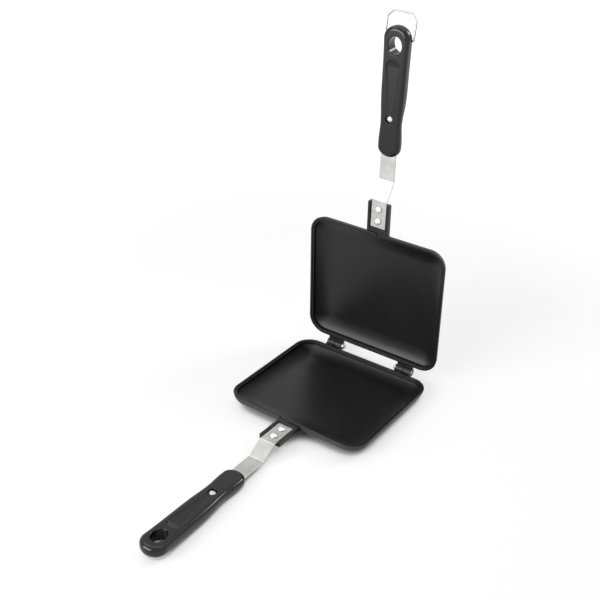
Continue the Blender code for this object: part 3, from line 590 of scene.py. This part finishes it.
def hinge_pin(inner_side):
    """A pin with a domed head on its pair's inner side and a bevelled end on the outer side."""
    end = KNUCKLE_WIDTH + KNUCKLE_GAP / 2
    seat = -end - PIN_CLEARANCE
    profile = [(PIN_RADIUS - 3 * PIN_END_BEVEL, end), (PIN_RADIUS - PIN_END_BEVEL, end - PIN_END_BEVEL / 3)]
    profile += [(PIN_RADIUS, end - PIN_END_BEVEL), (PIN_RADIUS, seat)]
    profile += dome(PIN_HEAD_RADIUS, PIN_HEAD_HEIGHT, seat, PIN_HEAD_STEPS, -1)
    mesh = turned("hinge_pin", profile, "X", (0, 0, 0))
    if inner_side > 0:
        mesh.transform(Matrix.Rotation(math.pi, 4, "Z"))
    return mesh


def handle_strip():
    """The bent strip with its corners, holes and rolled edges."""
    corners = [
        (STRIP_REAR_Y, -STRIP_TOP_DROP),
        (PAN_FRONT_Y - STRIP_FIRST_BEND, -STRIP_TOP_DROP),
        (PAN_FRONT_Y - STRIP_SECOND_BEND, -STRIP_OUTER_DROP),
        (STRIP_END_Y, -STRIP_OUTER_DROP),
    ]
    inner = rounded_path(corners, STRIP_BEND_RADIUS, STRIP_BEND_STEPS)
    half = STRIP_WIDTH / 2
    rings = []
    for i, (y, z) in enumerate(inner):
        before = Vector(inner[max(i - 1, 0)])
        after = Vector(inner[min(i + 1, len(inner) - 1)])
        run = (after - before).normalized()
        low_y, low_z = y - run.y * STRIP_THICKNESS, z + run.x * STRIP_THICKNESS
        rings.append([(-half, y, z), (half, y, z), (half, low_y, low_z), (-half, low_y, low_z)])
    strip = softened(mesh_from_rings("handle_strip", rings), STRIP_EDGE_SOFTENING)
    rivet = RIVET_RADIUS + RIVET_HOLE_PLAY
    steps = []
    for y in RIVET_PLACES:
        profile = [(rivet, -BRACKET_DEPTH - OVERRUN), (rivet, OVERRUN)]
        steps.append(("DIFFERENCE", turned("strip_hole", profile, "Z", (0, y, 0), SMALL_ROUND_SIDES)))
    screw = SCREW_RADIUS + SCREW_HOLE_PLAY
    profile = [(screw, -STRIP_OUTER_DROP - STRIP_THICKNESS - OVERRUN), (screw, 0)]
    steps.append(("DIFFERENCE", turned("screw_hole", profile, "Z", (0, SCREW_Y, 0), SMALL_ROUND_SIDES)))
    return combined(strip, steps)


def rivet():
    """A rivet with a low domed head on the strip and a formed head under the bracket."""
    head_seat = -STRIP_TOP_DROP + RIVET_SEAT_GAP
    tail_seat = -BRACKET_DEPTH - RIVET_SEAT_GAP
    profile = dome(RIVET_TAIL_RADIUS, RIVET_TAIL_HEIGHT, tail_seat, RIVET_TAIL_STEPS, -1)[::-1]
    profile += [(RIVET_RADIUS, tail_seat), (RIVET_RADIUS, head_seat)]
    profile += dome(RIVET_HEAD_RADIUS, RIVET_HEAD_HEIGHT, head_seat, RIVET_HEAD_STEPS)
    return turned("rivet", profile, "Z", (0, 0, 0))


def grip_half_width(place):
    """Half of the grip's width at a distance from its near end."""
    half = GRIP_WIDTH / 2 * share_at(GRIP_PLAN_SHARES, place / GRIP_LENGTH)
    near = max(GRIP_NEAR_END_ROUND - place, 0) / GRIP_NEAR_END_ROUND
    tip = max(place - GRIP_LENGTH + GRIP_TIP_ROUND, 0) / GRIP_TIP_ROUND
    return half * math.sqrt(max(1 - near ** 2, 0)) * math.sqrt(max(1 - tip ** 2, 0))


def grip_outer_z(place):
    return GRIP_FACE_Z - GRIP_THICKNESS * share_at(GRIP_SIDE_SHARES, place / GRIP_LENGTH)


def grip_outline():
    """The grip's plan: its near end, its left side, its tip and its right side, as (x, distance)."""
    ends = GRIP_END_STEPS
    near = [GRIP_NEAR_END_ROUND * (1 - math.cos(math.pi / 2 * i / ends)) for i in range(ends)]
    far = [GRIP_TIP_ROUND * (1 - math.cos(math.pi / 2 * i / ends)) for i in range(ends)]
    middle = GRIP_LENGTH - GRIP_NEAR_END_ROUND - GRIP_TIP_ROUND
    side = [GRIP_NEAR_END_ROUND + middle * i / GRIP_SIDE_STEPS for i in range(GRIP_SIDE_STEPS + 1)]
    stations = near + side + [GRIP_LENGTH - place for place in reversed(far)]
    left = [(-grip_half_width(place), place) for place in stations[1:-1]]
    right = [(-x, place) for x, place in reversed(left)]
    return [(0, 0), *left, (0, GRIP_LENGTH), *right]


def inward(outline):
    """For each point of a closed outline, the unit direction that points into it."""
    normals = []
    for i, point in enumerate(outline):
        run = (Vector(outline[(i + 1) % len(outline)]) - Vector(outline[i - 1])).normalized()
        normals.append((run.y, -run.x))
    return normals


def across_caps(count):
    """Faces that close the grip's top or bottom, strips across it from the left side to the right."""
    half = count // 2
    faces = [(0, 1, count - 1)]
    faces += [(i, i + 1, count - i - 1, count - i) for i in range(1, half - 1)]
    return [*faces, (half - 1, half, half + 1)]


def grip_blank():
    """The grip before its slot, holes and groove."""
    outline = grip_outline()
    normals = inward(outline)
    levels = []
    radius = GRIP_OUTER_EDGE_RADIUS
    for i in range(GRIP_OUTER_EDGE_STEPS + 1):
        angle = math.pi / 2 * i / GRIP_OUTER_EDGE_STEPS
        levels.append((radius * (1 - math.sin(angle)), radius * (1 - math.cos(angle)), True))
    radius = GRIP_TOP_EDGE_RADIUS
    for i in range(GRIP_TOP_EDGE_STEPS + 1):
        angle = math.pi / 2 * i / GRIP_TOP_EDGE_STEPS
        levels.append((radius * (1 - math.cos(angle)), radius * (1 - math.sin(angle)), False))
    rings = []
    for inset, from_face, outer in levels:
        ring = []
        for (x, place), (across, along) in zip(outline, normals):
            z = grip_outer_z(place) + from_face if outer else GRIP_FACE_Z - from_face
            ring.append((x + inset * across, GRIP_NEAR_Y - place - inset * along, z))
        rings.append(ring)
    caps = across_caps(len(outline))
    return mesh_from_rings("grip", rings, caps, caps)


def flare(radius, steps):
    """A rounded mouth as (growth, depth) pairs from its widest place down to the plain wall."""
    pairs = []
    for i in range(steps + 1):
        angle = math.pi / 2 * MOUTH_ARC_SHARE * (1 - i / steps)
        pairs.append((radius * (1 - math.cos(angle)), radius * (1 - math.sin(angle))))
    growth, depth = pairs[0]
    slope = math.tan(math.pi / 2 * (1 - MOUTH_ARC_SHARE))
    return [(growth + OVERRUN, depth - OVERRUN * slope), *pairs]


def hanging_hole():
    """The oval hole through the grip, its mouths rounded."""
    top = GRIP_FACE_Z
    bottom = grip_outer_z(HANG_HOLE_CENTRE)
    mouth = flare(HANG_HOLE_EDGE_RADIUS, HANG_HOLE_MOUTH_STEPS)
    levels = [(growth, top - depth) for growth, depth in mouth]
    levels += [(growth, bottom + depth) for growth, depth in reversed(mouth)]
    rings = []
    for growth, z in levels:
        ring = []
        for i in range(HANG_HOLE_SIDES):
            angle = 2 * math.pi * i / HANG_HOLE_SIDES
            x = (HANG_HOLE_WIDTH / 2 + growth) * math.cos(angle)
            y = (HANG_HOLE_LENGTH / 2 + growth) * math.sin(angle)
            ring.append((x, GRIP_NEAR_Y - HANG_HOLE_CENTRE + y, z))
        rings.append(ring)
    return mesh_from_rings("hanging_hole", rings)


def groove_outline():
    """The thumb groove's plan: from its small round start along the right side, round its end and back."""
    wide = GROOVE_WIDE_WIDTH / 2
    narrow = GROOVE_NARROW_WIDTH / 2
    run = GROOVE_END - GROOVE_START - wide
    lean = math.asin((wide - narrow) / run)
    start = arc((0, GROOVE_START), narrow, -math.pi / 2, -lean, GROOVE_START_STEPS)
    end = arc((0, GROOVE_START + run), wide, -lean, math.pi / 2, GROOVE_END_STEPS)
    sides = []
    for i in range(1, GROOVE_SIDE_STEPS):
        share = i / GROOVE_SIDE_STEPS
        x = start[-1][0] + (end[0][0] - start[-1][0]) * share
        sides.append((x, start[-1][1] + (end[0][1] - start[-1][1]) * share))
    right = start + sides + end
    return right + [(-x, place) for x, place in reversed(right[1:-1])]


def groove_depth(place):
    """How deep the groove is at a distance from the grip's near end."""
    deepest = GROOVE_END - GROOVE_END_SLOPE
    if place <= deepest:
        share = max(place - GROOVE_START, 0) / (deepest - GROOVE_START)
        return GROOVE_START_DEPTH + (GROOVE_DEPTH - GROOVE_START_DEPTH) * share
    share = min((place - deepest) / GROOVE_END_SLOPE, 1)
    return GROOVE_START_DEPTH + (GROOVE_DEPTH - GROOVE_START_DEPTH) * (1 - share)


def groove_wall(place):
    """The groove's section from above its lip down the wall and round the foot, as (inset, depth)."""
    depth = groove_depth(place)
    steeper = min(max(place - GROOVE_STEEPER_FROM, 0) / (GROOVE_END - GROOVE_STEEPER_FROM) * 2, 1)
    inset = GROOVE_SIDE_SLOPE * depth / GROOVE_DEPTH * (1 - GROOVE_STEEPER_SHARE * steeper)
    slope = math.atan2(depth, inset)
    lip = GROOVE_EDGE_RADIUS * math.tan(slope / 2)
    section = []
    for i in range(GROOVE_LIP_STEPS + 1):
        angle = GROOVE_LEAD_IN + (slope - GROOVE_LEAD_IN) * i / GROOVE_LIP_STEPS
        across = GROOVE_EDGE_RADIUS * math.sin(angle) - lip
        section.append((across, GROOVE_EDGE_RADIUS * (1 - math.cos(angle))))
    above = (section[0][0] - OVERRUN, section[0][1] - OVERRUN * math.tan(GROOVE_LEAD_IN))
    foot = GROOVE_FOOT_RADIUS * math.tan(slope / 2)
    bottom = []
    for i in range(GROOVE_FOOT_STEPS + 1):
        angle = slope * (1 - i / GROOVE_FOOT_STEPS)
        across = inset + foot - GROOVE_FOOT_RADIUS * math.sin(angle)
        bottom.append((across, depth - GROOVE_FOOT_RADIUS * (1 - math.cos(angle))))
    return [above, *section, *bottom]


def thumb_groove():
    """The groove's cutter: a rounded lip, sloped sides with a rounded foot and a floor that deepens."""
    outline = groove_outline()
    directions = [(-x, -y) for x, y in inward(outline)]
    walls = [groove_wall(place) for x, place in outline]
    rings = []
    for level in range(len(walls[0])):
        ring = []
        for (x, place), (across, along), wall in zip(outline, directions, walls):
            inset, depth = wall[level]
            ring.append((x + inset * across, GRIP_NEAR_Y - place - inset * along, GRIP_FACE_Z - depth))
        rings.append(ring)
    caps = across_caps(len(outline))
    return mesh_from_rings("thumb_groove", rings, caps, caps)


def round_mouth(name, centre, radius, face, floor, lip):
    """A cutter for a round hole from a face at one height to a floor at another, with a rounded mouth."""
    way = 1 if face > floor else -1
    profile = [(radius + growth, face - way * depth) for growth, depth in flare(lip, ROUND_MOUTH_STEPS)]
    profile.append((radius, floor))
    return turned(name, profile, "Z", centre)


def nut_seat_z():
    return grip_outer_z(SCREW_PLACE) + NUT_POCKET_DEPTH


def grip(bail):
    """A grip with its holes, its groove and its slot, and with the bail's holes if it carries the bail."""
    centre = (0, SCREW_Y, 0)
    half = STRIP_WIDTH / 2 + GRIP_SLOT_PLAY
    slot = box(
        "tang_slot",
        (-half, STRIP_END_Y - GRIP_SLOT_PLAY, -STRIP_OUTER_DROP - STRIP_THICKNESS - GRIP_SLOT_PLAY),
        (half, GRIP_NEAR_Y + OVERRUN, -STRIP_OUTER_DROP + GRIP_SLOT_PLAY),
    )
    shank = SCREW_RADIUS + SCREW_HOLE_PLAY
    outer = grip_outer_z(SCREW_PLACE)
    floor = GRIP_FACE_Z - SCREW_RECESS_DEPTH
    lip = SCREW_RECESS_EDGE_RADIUS
    cutters = [
        hanging_hole(),
        thumb_groove(),
        slot,
        round_mouth("head_recess", centre, SCREW_RECESS_RADIUS, GRIP_FACE_Z, floor, lip),
        turned("shank_hole", [(shank, outer - OVERRUN), (shank, OVERRUN)], "Z", centre, SMALL_ROUND_SIDES),
        round_mouth("nut_pocket", centre, NUT_POCKET_RADIUS, outer, nut_seat_z(), lip),
    ]
    if bail:
        surface = grip_half_width(GRIP_LENGTH - BAIL_PIVOT_FROM_TIP)
        radius = BAIL_WIRE_RADIUS + BAIL_HOLE_PLAY
        for side in (-1, 1):
            profile = [(radius, side * (surface - BAIL_HOLE_DEPTH)), (radius, side * (surface + OVERRUN))]
            cutters.append(turned("bail_hole", profile, "X", BAIL_PIVOT, SMALL_ROUND_SIDES))
    return combined(grip_blank(), [("DIFFERENCE", cutter) for cutter in cutters])


def grip_screw():
    """A slotted screw whose head lies in the recess and whose shank ends in the nut."""
    seat = GRIP_FACE_Z - SCREW_RECESS_DEPTH + SCREW_SEAT_GAP
    tip = nut_seat_z() - SCREW_SEAT_GAP - WASHER_THICKNESS - NUT_THICKNESS + SCREW_TIP_ABOVE_NUT
    profile = [(SCREW_RADIUS, tip), (SCREW_RADIUS, seat)]
    profile += dome(SCREW_HEAD_RADIUS, SCREW_HEAD_HEIGHT, seat, SCREW_HEAD_STEPS)
    screw = turned("grip_screw", profile, "Z", (0, SCREW_Y, 0))
    half = SCREW_SLOT_WIDTH / 2
    slot = box(
        "slot",
        (-SCREW_HEAD_RADIUS, SCREW_Y - half, seat + SCREW_HEAD_HEIGHT - SCREW_SLOT_DEPTH),
        (SCREW_HEAD_RADIUS, SCREW_Y + half, seat + SCREW_HEAD_HEIGHT + OVERRUN),
    )
    return combined(screw, [("DIFFERENCE", slot)])


def washer():
    top = nut_seat_z() - SCREW_SEAT_GAP
    low = top - WASHER_THICKNESS
    soft = WASHER_EDGE_BEVEL
    profile = [(WASHER_RADIUS - soft, low), (WASHER_RADIUS, low + soft)]
    profile += [(WASHER_RADIUS, top - soft), (WASHER_RADIUS - soft, top)]
    disc = turned("grip_washer", profile, "Z", (0, SCREW_Y, 0))
    hole = SCREW_RADIUS + SCREW_HOLE_PLAY
    bore = turned("washer_hole", [(hole, top - OVERRUN), (hole, top + OVERRUN)], "Z", (0, SCREW_Y, 0))
    return combined(disc, [("DIFFERENCE", bore)])


def nut():
    """A hexagon nut, its corners turned off at both faces."""
    top = nut_seat_z() - 2 * SCREW_SEAT_GAP - WASHER_THICKNESS
    bottom = top - NUT_THICKNESS
    corner = NUT_FLATS / 2 / math.cos(math.pi / NUT_SIDES)
    body = turned("grip_nut", [(corner, bottom), (corner, top)], "Z", (0, SCREW_Y, 0), NUT_SIDES)
    soft = NUT_EDGE_BEVEL
    profile = [(corner - 2 * soft, bottom), (corner + soft, bottom + 1.5 * soft)]
    profile += [(corner + soft, top - 1.5 * soft), (corner - 2 * soft, top)]
    turned_corners = turned("turned_corners", profile, "Z", (0, SCREW_Y, 0))
    radius = SCREW_RADIUS + NUT_THREAD_CLEARANCE
    profile = [(radius, bottom - OVERRUN), (radius, top + OVERRUN)]
    bore = turned("nut_bore", profile, "Z", (0, SCREW_Y, 0))
    return combined(body, [("INTERSECT", turned_corners), ("DIFFERENCE", bore)])


def bail_wire():
    """The bail about its own pivot, as a round wire swept along its bends."""
    surface = grip_half_width(GRIP_LENGTH - BAIL_PIVOT_FROM_TIP)
    end = surface - BAIL_HOLE_DEPTH + BAIL_HOLE_PLAY
    side = BAIL_WIDTH / 2
    right = [(end, 0), (side, 0), (side, -BAIL_LENGTH + BAIL_CHAMFER), (side - BAIL_CHAMFER, -BAIL_LENGTH)]
    corners = right + [(-x, y) for x, y in reversed(right)]
    path = rounded_path(corners, BAIL_BEND_RADIUS, BAIL_BEND_STEPS)
    rings = []
    for i, (x, y) in enumerate(path):
        run = (Vector(path[min(i + 1, len(path) - 1)]) - Vector(path[max(i - 1, 0)])).normalized()
        ring = []
        for u, v in circle(BAIL_WIRE_RADIUS, WIRE_SIDES):
            ring.append((x - run.y * u, y + run.x * u, v))
        rings.append(ring)
    return mesh_from_rings("bail_wire", rings)


def new_node(tree, kind, **settings):
    node = tree.nodes.new(kind)
    for name, value in settings.items():
        setattr(node, name, value)
    return node


def math_node(tree, operation, first, second):
    node = new_node(tree, "ShaderNodeMath", operation=operation)
    for socket, value in zip(node.inputs, (first, second)):
        if isinstance(value, (int, float)):
            socket.default_value = value
        else:
            tree.links.new(value, socket)
    return node.outputs["Value"]


def mapped(tree, value, from_range, to_range, interpolation="LINEAR"):
    """Takes a value from one (low, high) range to another and stops at its ends."""
    node = new_node(tree, "ShaderNodeMapRange", interpolation_type=interpolation)
    for name, number in zip(("From Min", "From Max", "To Min", "To Max"), (*from_range, *to_range)):
        node.inputs[name].default_value = number
    tree.links.new(value, node.inputs["Value"])
    return node.outputs["Result"]


def noise(tree, place, texture, stretch=None):
    """A noise of a (scale, detail) pair in metres, stretched along the piece if asked."""
    node = new_node(tree, "ShaderNodeTexNoise")
    for name, number in zip(("Scale", "Detail"), texture):
        node.inputs[name].default_value = number
    if stretch:
        mapping = new_node(tree, "ShaderNodeMapping")
        mapping.inputs["Scale"].default_value = stretch
        tree.links.new(place, mapping.inputs["Vector"])
        place = mapping.outputs["Vector"]
    tree.links.new(place, node.inputs["Vector"])
    return node.outputs["Fac"]


def tint(tree, factor, colours):
    """Mixes two colours by a factor."""
    mix = new_node(tree, "ShaderNodeMix", data_type="RGBA")
    for name, colour in zip("AB", colours):
        mix.inputs[name].default_value = (*colour, 1)
    tree.links.new(factor, mix.inputs["Factor"])
    return mix.outputs["Result"]


def bump(tree, shader, height, relief, before=None):
    """Raises a surface by a (strength, distance) pair, on top of an earlier bump if there is one."""
    node = new_node(tree, "ShaderNodeBump")
    for name, number in zip(("Strength", "Distance"), relief):
        node.inputs[name].default_value = number
    tree.links.new(height, node.inputs["Height"])
    if before:
        tree.links.new(before.outputs["Normal"], node.inputs["Normal"])
    tree.links.new(node.outputs["Normal"], shader.inputs["Normal"])
    return node


def finish(name, ior, metallic=0.0):
    """A new material with its node tree, its shader and the object's own coordinates."""
    made = bpy.data.materials.new(name)
    made.use_nodes = True
    tree = made.node_tree
    shader = tree.nodes["Principled BSDF"]
    shader.inputs["IOR"].default_value = ior
    shader.inputs["Metallic"].default_value = metallic
    return made, tree, shader, new_node(tree, "ShaderNodeTexCoord").outputs["Object"]


def nonstick_coating():
    """Matt black non-stick coating: a faint orange peel, fine flecks and an uneven sheen."""
    made, tree, shader, place = finish("nonstick_coating", COATING_IOR)
    ground = tint(tree, noise(tree, place, COATING_MOTTLE), COATING_COLOURS)
    flecks = noise(tree, place, COATING_FLECKS)
    colour = new_node(tree, "ShaderNodeMix", data_type="RGBA")
    tree.links.new(mapped(tree, flecks, COATING_FLECK_RANGE, (0.0, 1.0)), colour.inputs["Factor"])
    tree.links.new(ground, colour.inputs["A"])
    colour.inputs["B"].default_value = (*COATING_FLECK_COLOUR, 1)
    tree.links.new(colour.outputs["Result"], shader.inputs["Base Color"])
    sheen = noise(tree, place, COATING_SHEEN)
    tree.links.new(mapped(tree, sheen, NOISE_MIDDLE, COATING_ROUGHNESS), shader.inputs["Roughness"])
    peel = bump(tree, shader, noise(tree, place, COATING_PEEL), COATING_PEEL_BUMP)
    bump(tree, shader, flecks, COATING_FLECK_BUMP, peel)
    return made


def outer_enamel():
    """The pans' outside: a dull dark grey enamel with a cast texture under it."""
    made, tree, shader, place = finish("outer_enamel", ENAMEL_IOR)
    colour = tint(tree, noise(tree, place, ENAMEL_MOTTLE), ENAMEL_COLOURS)
    tree.links.new(colour, shader.inputs["Base Color"])
    sheen = noise(tree, place, ENAMEL_SHEEN)
    tree.links.new(mapped(tree, sheen, NOISE_MIDDLE, ENAMEL_ROUGHNESS), shader.inputs["Roughness"])
    bump(tree, shader, noise(tree, place, ENAMEL_CAST), ENAMEL_CAST_BUMP)
    return made


def strip_steel():
    """Rolled stainless steel with fine grain along the strip."""
    made, tree, shader, place = finish("satin_strip_steel", METAL_IOR, 1.0)
    grain = noise(tree, place, STRIP_GRAIN, STRIP_GRAIN_STRETCH)
    clouded = math_node(tree, "MULTIPLY", grain, noise(tree, place, STRIP_CLOUD))
    shade = mapped(tree, clouded, STRIP_SHADE_RANGE, (0.0, 1.0))
    tree.links.new(tint(tree, shade, STRIP_COLOURS), shader.inputs["Base Color"])
    tree.links.new(mapped(tree, grain, NOISE_MIDDLE, STRIP_ROUGHNESS), shader.inputs["Roughness"])
    bump(tree, shader, grain, STRIP_GRAIN_BUMP)
    return made


def phenolic():
    """Gloss black phenolic moulding: a slight ripple, faint cloudiness and hair scratches."""
    made, tree, shader, place = finish("gloss_phenolic", PHENOLIC_IOR)
    colour = tint(tree, noise(tree, place, PHENOLIC_CLOUD), PHENOLIC_COLOURS)
    tree.links.new(colour, shader.inputs["Base Color"])
    scratches = noise(tree, place, PHENOLIC_SCRATCHES, PHENOLIC_SCRATCH_STRETCH)
    roughness = mapped(tree, scratches, PHENOLIC_SCRATCH_RANGE, PHENOLIC_ROUGHNESS)
    tree.links.new(roughness, shader.inputs["Roughness"])
    bump(tree, shader, noise(tree, place, PHENOLIC_RIPPLE), PHENOLIC_RIPPLE_BUMP)
    return made


def bright_metal(name, colour, roughness):
    """Plated or polished steel with a slightly clouded shine."""
    made, tree, shader, place = finish(name, METAL_IOR, 1.0)
    cloud = noise(tree, place, BRIGHT_CLOUD)
    darker = tuple(BRIGHT_DARKER_SHARE * c for c in colour)
    tree.links.new(tint(tree, cloud, (darker, colour)), shader.inputs["Base Color"])
    tree.links.new(mapped(tree, cloud, NOISE_MIDDLE, roughness), shader.inputs["Roughness"])
    bump(tree, shader, cloud, BRIGHT_CLOUD_BUMP)
    return made


def finished(mesh, made):
    mesh.materials.append(made)
    return mesh


def show(name, mesh, place, body, node):
    """Adds a fine piece that stands for a CAD node and rides on its body."""
    piece = bpy.data.objects.new(name, mesh)
    bpy.context.scene.collection.objects.link(piece)
    mesh.shade_smooth()
    mesh.set_sharp_from_angle(angle=SHARP_ANGLE)
    piece.matrix_world = place
    weighted = piece.modifiers.new("flat_faces_stay_flat", "WEIGHTED_NORMAL")
    weighted.keep_sharp = True
    weighted.mode = "FACE_AREA"
    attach(piece, body)
    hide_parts(node)


def build_object():
    black = phenolic()
    plating = bright_metal("bright_plating", PLATING_COLOUR, PLATING_ROUGHNESS)
    wire = bright_metal("plated_wire", WIRE_COLOUR, WIRE_ROUGHNESS)
    casting = pan_casting((nonstick_coating(), outer_enamel()))
    strip = finished(handle_strip(), strip_steel())
    rivet_mesh = finished(rivet(), bright_metal("bright_rivet_steel", RIVET_COLOUR, RIVET_ROUGHNESS))
    fastenings = {"screw": grip_screw(), "washer": washer(), "nut": nut()}
    for mesh in fastenings.values():
        finished(mesh, plating)
    for half, pan_place, handle_place in (("lower", LOWER, LOWER), ("upper", UPPER, UPPER_HANDLE)):
        body = f"{half}_half"
        show(f"{half}_casting", casting, pan_place, body, f"{half}_pan")
        for end, y in zip(("front", "rear"), RIVET_PLACES):
            place = pan_place @ Matrix.Translation((0, y, 0))
            node = f"{half}_{end}_rivet"
            show(f"{node}_domed", rivet_mesh, place, body, node)
        show(f"{half}_bent_strip", strip, handle_place, body, f"{half}_handle_strip")
        moulding = finished(grip(half == "upper"), black)
        show(f"{half}_moulded_grip", moulding, handle_place, body, f"{half}_grip")
        for kind, mesh in fastenings.items():
            node = f"{half}_grip_{kind}"
            show(f"{node}_plated", mesh, handle_place, body, node)
    for side, way in (("left", -1), ("right", 1)):
        pin = finished(hinge_pin(-way), plating)
        place = LOWER @ Matrix.Translation((way * HINGE_PAIR_X, 0, 0))
        node = f"hinge_pin_{side}"
        show(f"{node}_domed", pin, place, "lower_half", node)
    bail = finished(bail_wire(), wire)
    show("bail_bent_wire", bail, BAIL_FRAME, "bail", "bail_wire")


def resting_plane():
    """The floor's slope and height: it touches the lower pan's rear edge and the lower grip."""
    points = []
    for name in RESTING_PIECES:
        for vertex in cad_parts[name].data.vertices:
            points.append((vertex.co.y, vertex.co.z))
    points.sort()
    hull = []
    for point in points:
        while len(hull) > 1:
            (ay, az), (by, bz) = hull[-2], hull[-1]
            if (by - ay) * (point[1] - az) - (bz - az) * (point[0] - ay) > 0:
                break
            hull.pop()
        hull.append(point)
    for (ay, az), (by, bz) in zip(hull, hull[1:]):
        if ay < -PAN_LENGTH and by > 0:
            slope = (bz - az) / (by - ay)
            return math.atan(slope), az - slope * ay
    return 0.0, 0.0


def lamp(name, towards, distance, width, height, radiance):
    """A soft rectangular lamp in a direction from the object, as bright as a surface of that radiance."""
    light = bpy.data.lights.new(name, "AREA")
    light.shape = "RECTANGLE"
    light.size = width
    light.size_y = height
    light.energy = radiance * math.pi * width * height
    holder = bpy.data.objects.new(name, light)
    bpy.context.scene.collection.objects.link(holder)
    direction = Vector(towards).normalized()
    holder.location = LIT_CENTRE + direction * distance
    holder.rotation_euler = direction.to_track_quat("Z", "Y").to_euler()
    holder.visible_camera = False


def disc(name, radius, tilt, height):
    """A round sheet that belongs to the stage, with an empty material and its node tree."""
    bpy.ops.mesh.primitive_circle_add(vertices=FLOOR_SIDES, radius=radius, fill_type="NGON")
    made = bpy.context.object
    made.name = name
    made.location = (0, 0, height)
    made.rotation_euler = (tilt, 0, 0)
    material = bpy.data.materials.new(name)
    material.use_nodes = True
    made.data.materials.append(material)
    tree = material.node_tree
    tree.nodes.clear()
    return tree


def shown_rays(tree):
    """Is 1 for the rays that see the background: camera, glossy and transmission rays."""
    rays = new_node(tree, "ShaderNodeLightPath").outputs
    seen = math_node(tree, "MAXIMUM", rays["Is Camera Ray"], rays["Is Glossy Ray"])
    return math_node(tree, "MAXIMUM", seen, rays["Is Transmission Ray"])


def build_floor():
    """A pale floor that keeps the object's shadow and glows whiter with its distance from the object.

    The glow shows only to rays that see the background; in deep gaps under the object it is taken away,
    which paints shade there.
    """
    tilt, height = resting_plane()
    tree = disc("floor", FLOOR_RADIUS, tilt, height - FLOOR_GAP)
    diffuse = new_node(tree, "ShaderNodeBsdfDiffuse")
    diffuse.inputs["Color"].default_value = (FLOOR_COLOUR, FLOOR_COLOUR, FLOOR_COLOUR, 1)
    # Painted shade: ambient occlusion takes the floor's glow away in deep gaps under the object, such as
    # the floor seen through the grip's hanging hole
    painted_gap_shade = new_node(tree, "ShaderNodeAmbientOcclusion")
    painted_gap_shade.inputs["Distance"].default_value = PAINTED_GAP_SHADE_REACH
    glow_left_by_painted_shade = mapped(tree, painted_gap_shade.outputs["AO"], PAINTED_GAP_SHADE_OPENNESS, (0.0, 1.0), "SMOOTHSTEP")
    away = new_node(tree, "ShaderNodeVectorMath", operation="LENGTH")
    tree.links.new(new_node(tree, "ShaderNodeTexCoord").outputs["Object"], away.inputs[0])
    level = mapped(tree, away.outputs["Value"], FAR_FLOOR, (FLOOR_GLOW, FAR_FLOOR_GLOW), "SMOOTHSTEP")
    level = math_node(tree, "MULTIPLY", level, glow_left_by_painted_shade)
    glow = new_node(tree, "ShaderNodeEmission")
    tree.links.new(math_node(tree, "MULTIPLY", shown_rays(tree), level), glow.inputs["Strength"])
    both = new_node(tree, "ShaderNodeAddShader")
    tree.links.new(diffuse.outputs["BSDF"], both.inputs[0])
    tree.links.new(glow.outputs["Emission"], both.inputs[1])
    output = new_node(tree, "ShaderNodeOutputMaterial")
    tree.links.new(both.outputs["Shader"], output.inputs["Surface"])


def build_room():
    """A dim room that lights the object from a pale ceiling and back wall; it is seen as plain white."""
    world = bpy.data.worlds.new("studio")
    bpy.context.scene.world = world
    world.use_nodes = True
    tree = world.node_tree
    background = tree.nodes["Background"]
    background.inputs["Color"].default_value = (1, 1, 1, 1)
    direction = new_node(tree, "ShaderNodeTexCoord").outputs["Generated"]
    split = new_node(tree, "ShaderNodeSeparateXYZ")
    tree.links.new(direction, split.inputs["Vector"])
    ceiling = mapped(tree, split.outputs["Z"], CEILING_FADE, (0.0, CEILING_LEVEL), "SMOOTHSTEP")
    aim = new_node(tree, "ShaderNodeVectorMath", operation="DOT_PRODUCT")
    aim.inputs[1].default_value = BACK_WALL_TOWARDS.normalized()
    tree.links.new(direction, aim.inputs[0])
    edge = [math.cos(angle) for angle in BACK_WALL_ANGLES]
    wall = mapped(tree, aim.outputs["Value"], edge, (0.0, BACK_WALL_LEVEL), "SMOOTHSTEP")
    level = math_node(tree, "ADD", math_node(tree, "ADD", ceiling, ROOM_LEVEL), wall)
    tree.links.new(math_node(tree, "MAXIMUM", level, shown_rays(tree)), background.inputs["Strength"])


def build_stage():
    build_floor()
    build_room()
    for settings in LAMPS:
        lamp(*settings)


def build_camera():
    lens = bpy.data.cameras.new("camera")
    lens.sensor_width = CAMERA_SENSOR_WIDTH
    lens.lens = CAMERA_LENS
    lens.shift_x, lens.shift_y = CAMERA_SHIFT
    camera = bpy.data.objects.new("camera", lens)
    bpy.context.scene.collection.objects.link(camera)
    camera.matrix_world = Matrix.Translation(CAMERA_PLACE) @ Euler(CAMERA_TURN).to_matrix().to_4x4()
    bpy.context.scene.camera = camera


build_object()
build_stage()
build_camera()
bpy.context.scene.view_settings.view_transform = "Standard"
